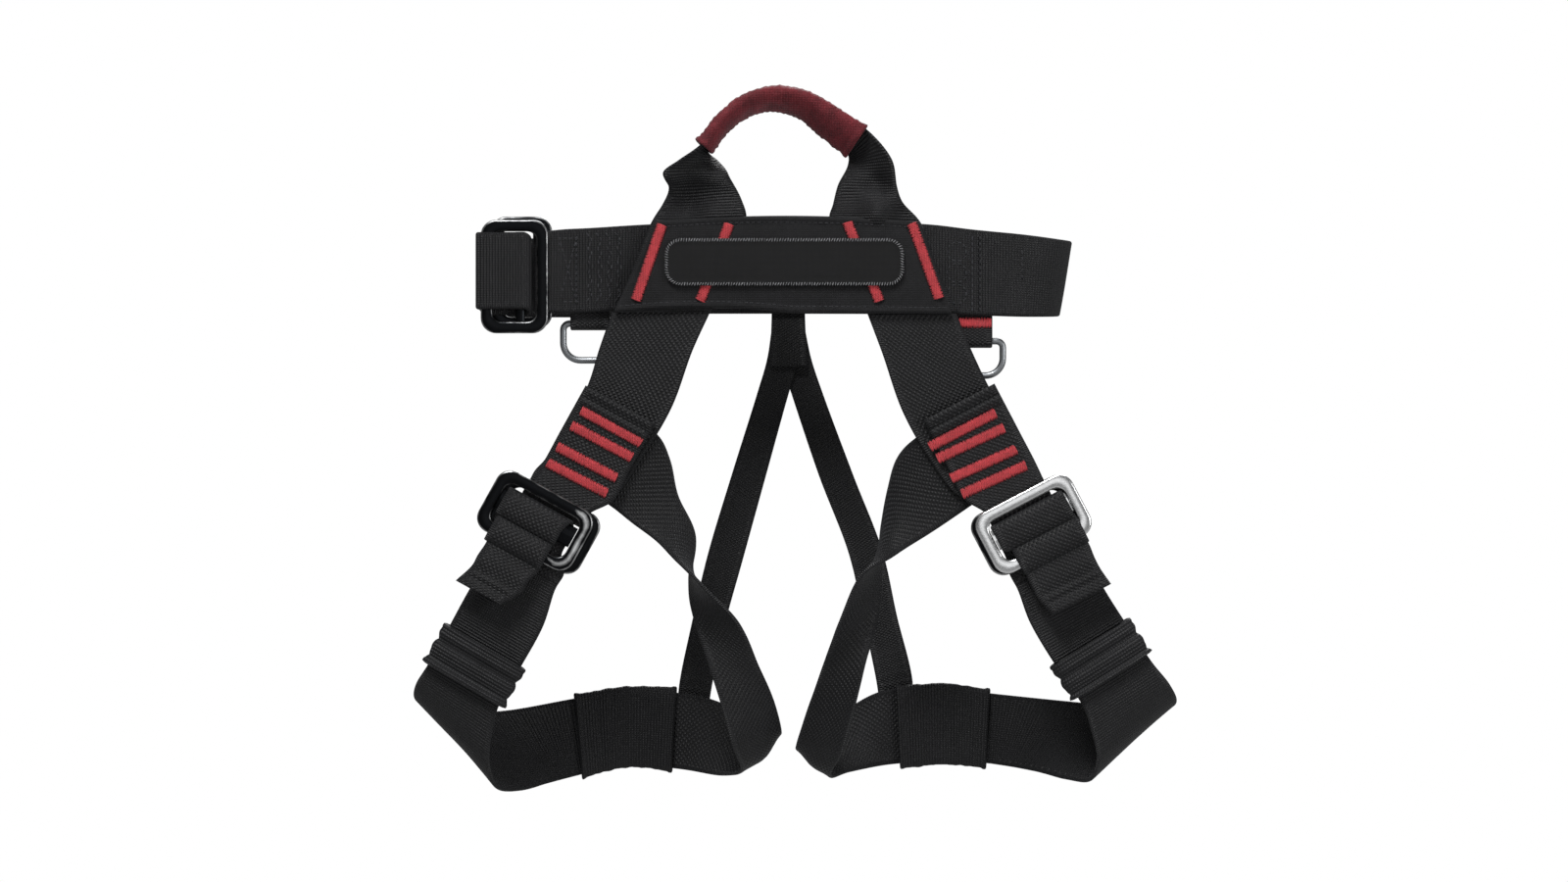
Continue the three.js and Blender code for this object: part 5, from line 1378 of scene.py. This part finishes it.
def make_bar_tacks():
    thread = bpy.context.scene.saddle_thread
    sizes = (size / MM for size in (thread.strand_spacing, thread.strand_length, thread.strand_width))
    tack = dict(zip(("spacing", "length", "width"), sizes), turn=90, jitter=6)
    groups = {
        "panel": ("belt", PANEL_TACKS, TACK_Y),
        "tab": ("belt", {"right_tab_tack": ((86, -109.8), (104.6, -109.8))}, 4.15),
    }
    for side in LEGS:
        names = {f"{side}_leg_tack_{index}": ends for index, ends in enumerate(LEGS[side]["tacks"], 1)}
        groups[side] = (f"{side}_leg", names, FLAP_Y - WEB / 2 - 0.35)
    for seed, (name, (body, lines, y)) in enumerate(groups.items()):
        runs = [facing_line(even_points(ends), y) for ends in lines.values()]
        piece = stitched(f"{name}_tack_thread", runs, finish("red thread"), seed=seed + 1, **tack)
        dress(piece, "red_thread", *lines, ride=body)


def make_stitching():
    left, right, top, bottom = -120, -111, -66, -99
    corners = [(left, top), (right, bottom), (right, top), (left, bottom)]
    box = [(0, 3), (2, 1), (0, 1), (2, 3), (0, 2), (3, 1)]
    lines = [[corners[first], corners[second]] for first, second in box]
    for x in (-104, -99, -94, -89):
        lines.append([(x + (1.2 if step % 2 else -1.2), -64 - step * 3.4) for step in range(11)])
    for x in (95, 99):
        lines.append([(x, -66), (x, -103)])
    for cz in (-73, -84, -95):
        lines.append([(87 + px, cz + pz) for px, pz in arc(0, 0, 5, 0, 360, 18)])
    lines.append([(121, -73.5), (121, -86)])
    front = BELT_Y - BELT / 2 - 0.1
    runs = []
    for points in lines:
        x = points[0][0]
        bent_back = 0.8 if x > 110 else -0.5 if x < -110 else 0
        runs.append(facing_line(even_points(points), front + bent_back))
    piece = stitched("belt_stitching", runs, finish("black thread"), 2.9, 2.5, 0.75, 0, 4, 21)
    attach(piece, "belt")
    box = [(-7.2, -73), (5.8, -73), (5.8, -102), (-7.2, -102), (-7.2, -73), (5.8, -102)]
    runs = [facing_line(even_points(box), REAR_Y + NARROW_WEB / 2 + 0.1, BACK)]
    piece = stitched("rear_box_stitch", runs, finish("black thread"), 2.7, 2.4, 0.7, 0, 4, 23)
    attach(piece, "belt")
    inset = [panel_point(a / 60, 0.07) for a in range(1, 60)]
    below = [panel_point(a / 60, 0.93) for a in range(1, 60)]
    runs = [facing_line(inset, PANEL_FRONT - 0.1), facing_line(below, PANEL_FRONT - 0.1)]
    piece = stitched("panel_stitching", runs, finish("black thread"), 2.9, 2.4, 0.6, 0, 3, 22)
    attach(piece, "belt")


# The stage, in metres: each light's place, size and power in watts, and what the camera sees
FLOOR_RADIUS = 40
SADDLE_MIDDLE = Vector((0, 0, -0.18))
LIGHTS = {
    "key": ((-0.5, -1.2, 1.7), 0.7, 42),
    "fill": ((1.7, -1.1, 0.1), 0.9, 14),
    "rim": ((0.4, 1.4, 1.4), 1.0, 22),
    "front": ((0.1, -3.1, 0.1), 1.2, 5.5),
}
VIEW_WIDTH = 0.816
VIEW_CENTRE = (-0.003, -0.1715)


def make_stage():
    stage = bpy.context.scene.saddle_stage
    bpy.ops.mesh.primitive_circle_add(
        vertices=96, radius=FLOOR_RADIUS, fill_type="NGON", location=(0, 0, stage.floor_height))
    floor = bpy.context.object
    floor.name = "floor"
    floor.data.materials.append(floor_paint("Matt studio floor", "#e8e8e8"))
    world = bpy.data.worlds.new("Pale studio")
    bpy.context.scene.world = world
    world.use_nodes = True
    tree = world.node_tree
    tree.nodes["Background"].inputs["Color"].default_value = (1, 1, 1, 1)
    tree.links.new(backdrop_strength(tree).outputs[0], tree.nodes["Background"].inputs["Strength"])
    bpy.context.scene.view_settings.view_transform = "Standard"
    for name, (place, size, power) in LIGHTS.items():
        data = bpy.data.lights.new(name, "AREA")
        data.size = size
        data.energy = power * stage.light
        lamp = bpy.data.objects.new(name, data)
        lamp.location = place
        lamp.rotation_euler = (SADDLE_MIDDLE - Vector(place)).to_track_quat("-Z", "Y").to_euler()
        bpy.context.scene.collection.objects.link(lamp)
    data = bpy.data.cameras.new("camera")
    data.sensor_width = 36
    data.lens = data.sensor_width * stage.camera_distance / VIEW_WIDTH
    camera = bpy.data.objects.new("camera", data)
    camera.location = (VIEW_CENTRE[0], -stage.camera_distance, VIEW_CENTRE[1])
    camera.rotation_euler = (math.radians(90), 0, 0)
    bpy.context.scene.collection.objects.link(camera)
    bpy.context.scene.camera = camera


# ---------------------------------------------------------------- the add-on


class SaddleColours(bpy.types.PropertyGroup):
    """The colours of the cloths and threads."""
    webbing: bpy.props.FloatVectorProperty(
        name="Webbing", description="Colour of the webbing, the elastic, the panel and the label",
        default=linear("#1a1a1c"), min=0, max=1, subtype="COLOR")
    sleeve: bpy.props.FloatVectorProperty(
        name="Sleeve", description="Colour of the tie-in loop's wear sleeve",
        default=linear("#96303a"), min=0, max=1, subtype="COLOR")
    tacks: bpy.props.FloatVectorProperty(
        name="Bar Tacks", description="Colour of the bar tacks' thread",
        default=linear("#d8474e"), min=0, max=1, subtype="COLOR")
    overlock: bpy.props.FloatVectorProperty(
        name="Overlock", description="Colour of the thread round the label",
        default=linear("#a8a9ac"), min=0, max=1, subtype="COLOR")


class SaddleThread(bpy.types.PropertyGroup):
    """The sizes of the bar tacks' strands."""
    strand_spacing: bpy.props.FloatProperty(
        name="Spacing", description="Distance between the strands of a bar tack",
        default=0.8 * MM, min=0.2 * MM, unit="LENGTH", precision=4)
    strand_length: bpy.props.FloatProperty(
        name="Length", description="Length of a strand, across the bar tack",
        default=6.3 * MM, min=1 * MM, unit="LENGTH", precision=4)
    strand_width: bpy.props.FloatProperty(
        name="Width", description="Thickness of a strand",
        default=1.2 * MM, min=0.2 * MM, unit="LENGTH", precision=4)


class SaddleStage(bpy.types.PropertyGroup):
    """The floor, the lights and the camera."""
    floor_height: bpy.props.FloatProperty(
        name="Floor Height", description="Height of the floor under the hanging saddle",
        default=-0.62, unit="LENGTH")
    light: bpy.props.FloatProperty(
        name="Light", description="Brightness of the studio lights, as a share of their usual one",
        default=1.0, min=0, soft_max=2, subtype="FACTOR")
    camera_distance: bpy.props.FloatProperty(
        name="Camera Distance", description="Distance from the camera to the saddle",
        default=2.6, min=1.0, unit="LENGTH")


GROUPS = {"saddle_colours": SaddleColours, "saddle_thread": SaddleThread, "saddle_stage": SaddleStage}


class SADDLE_OT_stage(bpy.types.Operator):
    """Adds the floor, the lights and the camera"""
    bl_idname = "saddle.stage"
    bl_label = "Stage"

    def execute(self, context):
        make_stage()
        return {"FINISHED"}


class SADDLE_OT_waist_belt(bpy.types.Operator):
    """Adds the waist webbing and its free end"""
    bl_idname = "saddle.waist_belt"
    bl_label = "Waist Belt"

    def execute(self, context):
        make_waist_belt()
        return {"FINISHED"}


class SADDLE_OT_waist_buckle(bpy.types.Operator):
    """Adds the waist buckle's frame and plate"""
    bl_idname = "saddle.waist_buckle"
    bl_label = "Waist Buckle"

    def execute(self, context):
        make_waist_buckle()
        return {"FINISHED"}


class SADDLE_OT_front_panel(bpy.types.Operator):
    """Adds the cover cloth over the front of the belt"""
    bl_idname = "saddle.front_panel"
    bl_label = "Front Panel"

    def execute(self, context):
        make_front_panel()
        return {"FINISHED"}


class SADDLE_OT_label(bpy.types.Operator):
    """Adds the blank label patch with its overlocked edge"""
    bl_idname = "saddle.label"
    bl_label = "Label"

    def execute(self, context):
        make_label()
        return {"FINISHED"}


class SADDLE_OT_tie_in_loop(bpy.types.Operator):
    """Adds the tie-in webbing and its sleeve"""
    bl_idname = "saddle.tie_in_loop"
    bl_label = "Tie-in Loop"

    def execute(self, context):
        make_tie_in_loop()
        return {"FINISHED"}


class SADDLE_OT_gear_rings(bpy.types.Operator):
    """Adds the gear rings and their tabs"""
    bl_idname = "saddle.gear_rings"
    bl_label = "Gear Rings"

    def execute(self, context):
        make_gear_rings()
        return {"FINISHED"}


class SADDLE_OT_rear_straps(bpy.types.Operator):
    """Adds the forked rear strap"""
    bl_idname = "saddle.rear_straps"
    bl_label = "Rear Straps"

    def execute(self, context):
        make_rear_straps()
        return {"FINISHED"}


class SADDLE_OT_upper_straps(bpy.types.Operator):
    """Adds the upper leg straps with their sewn flaps"""
    bl_idname = "saddle.upper_straps"
    bl_label = "Upper Leg Straps"

    def execute(self, context):
        make_upper_straps()
        return {"FINISHED"}


class SADDLE_OT_inner_straps(bpy.types.Operator):
    """Adds the twisted inner leg straps"""
    bl_idname = "saddle.inner_straps"
    bl_label = "Inner Leg Straps"

    def execute(self, context):
        make_inner_straps()
        return {"FINISHED"}


class SADDLE_OT_lower_straps(bpy.types.Operator):
    """Adds the lower leg straps"""
    bl_idname = "saddle.lower_straps"
    bl_label = "Lower Leg Straps"

    def execute(self, context):
        make_lower_straps()
        return {"FINISHED"}


class SADDLE_OT_thigh_sleeves(bpy.types.Operator):
    """Adds the sleeves at the back of the thighs"""
    bl_idname = "saddle.thigh_sleeves"
    bl_label = "Thigh Sleeves"

    def execute(self, context):
        make_thigh_sleeves()
        return {"FINISHED"}


class SADDLE_OT_keepers(bpy.types.Operator):
    """Adds the ribbed elastic keepers"""
    bl_idname = "saddle.keepers"
    bl_label = "Keepers"

    def execute(self, context):
        make_keepers()
        return {"FINISHED"}


class SADDLE_OT_leg_buckles(bpy.types.Operator):
    """Adds the leg buckles' frames and plates"""
    bl_idname = "saddle.leg_buckles"
    bl_label = "Leg Buckles"

    def execute(self, context):
        make_leg_buckles()
        return {"FINISHED"}


class SADDLE_OT_strap_ends(bpy.types.Operator):
    """Adds the webbing over the leg buckles' bars and the hanging tails"""
    bl_idname = "saddle.strap_ends"
    bl_label = "Strap Ends"

    def execute(self, context):
        make_strap_ends()
        return {"FINISHED"}


class SADDLE_OT_bar_tacks(bpy.types.Operator):
    """Adds the red bar tacks"""
    bl_idname = "saddle.bar_tacks"
    bl_label = "Bar Tacks"

    def execute(self, context):
        make_bar_tacks()
        return {"FINISHED"}


class SADDLE_OT_stitching(bpy.types.Operator):
    """Adds the running stitches"""
    bl_idname = "saddle.stitching"
    bl_label = "Stitching"

    def execute(self, context):
        make_stitching()
        return {"FINISHED"}


OPERATORS = [
    SADDLE_OT_stage, SADDLE_OT_waist_belt, SADDLE_OT_waist_buckle, SADDLE_OT_front_panel,
    SADDLE_OT_label, SADDLE_OT_tie_in_loop, SADDLE_OT_gear_rings, SADDLE_OT_rear_straps,
    SADDLE_OT_upper_straps, SADDLE_OT_inner_straps, SADDLE_OT_lower_straps,
    SADDLE_OT_thigh_sleeves, SADDLE_OT_keepers, SADDLE_OT_leg_buckles, SADDLE_OT_strap_ends,
    SADDLE_OT_bar_tacks, SADDLE_OT_stitching,
]


class SADDLE_PT_panel(bpy.types.Panel):
    """Lists the saddle's settings and pieces"""
    bl_idname = "SADDLE_PT_panel"
    bl_label = "Tree Climbing Saddle"
    bl_space_type = "VIEW_3D"
    bl_region_type = "UI"
    bl_category = "Saddle"

    def draw(self, context):
        for name, group in GROUPS.items():
            for setting in group.__annotations__:
                self.layout.prop(getattr(context.scene, name), setting)
        for operator in OPERATORS:
            self.layout.operator(operator.bl_idname)


def register():
    for cls in (*GROUPS.values(), *OPERATORS, SADDLE_PT_panel):
        bpy.utils.register_class(cls)
    for name, group in GROUPS.items():
        setattr(bpy.types.Scene, name, bpy.props.PointerProperty(type=group))


def unregister():
    for name in GROUPS:
        delattr(bpy.types.Scene, name)
    for cls in (SADDLE_PT_panel, *reversed(OPERATORS), *GROUPS.values()):
        bpy.utils.unregister_class(cls)


def main():
    register()
    for operator in OPERATORS:
        getattr(bpy.ops.saddle, operator.bl_idname.split(".")[1])()


if __name__ == "__main__":
    main()
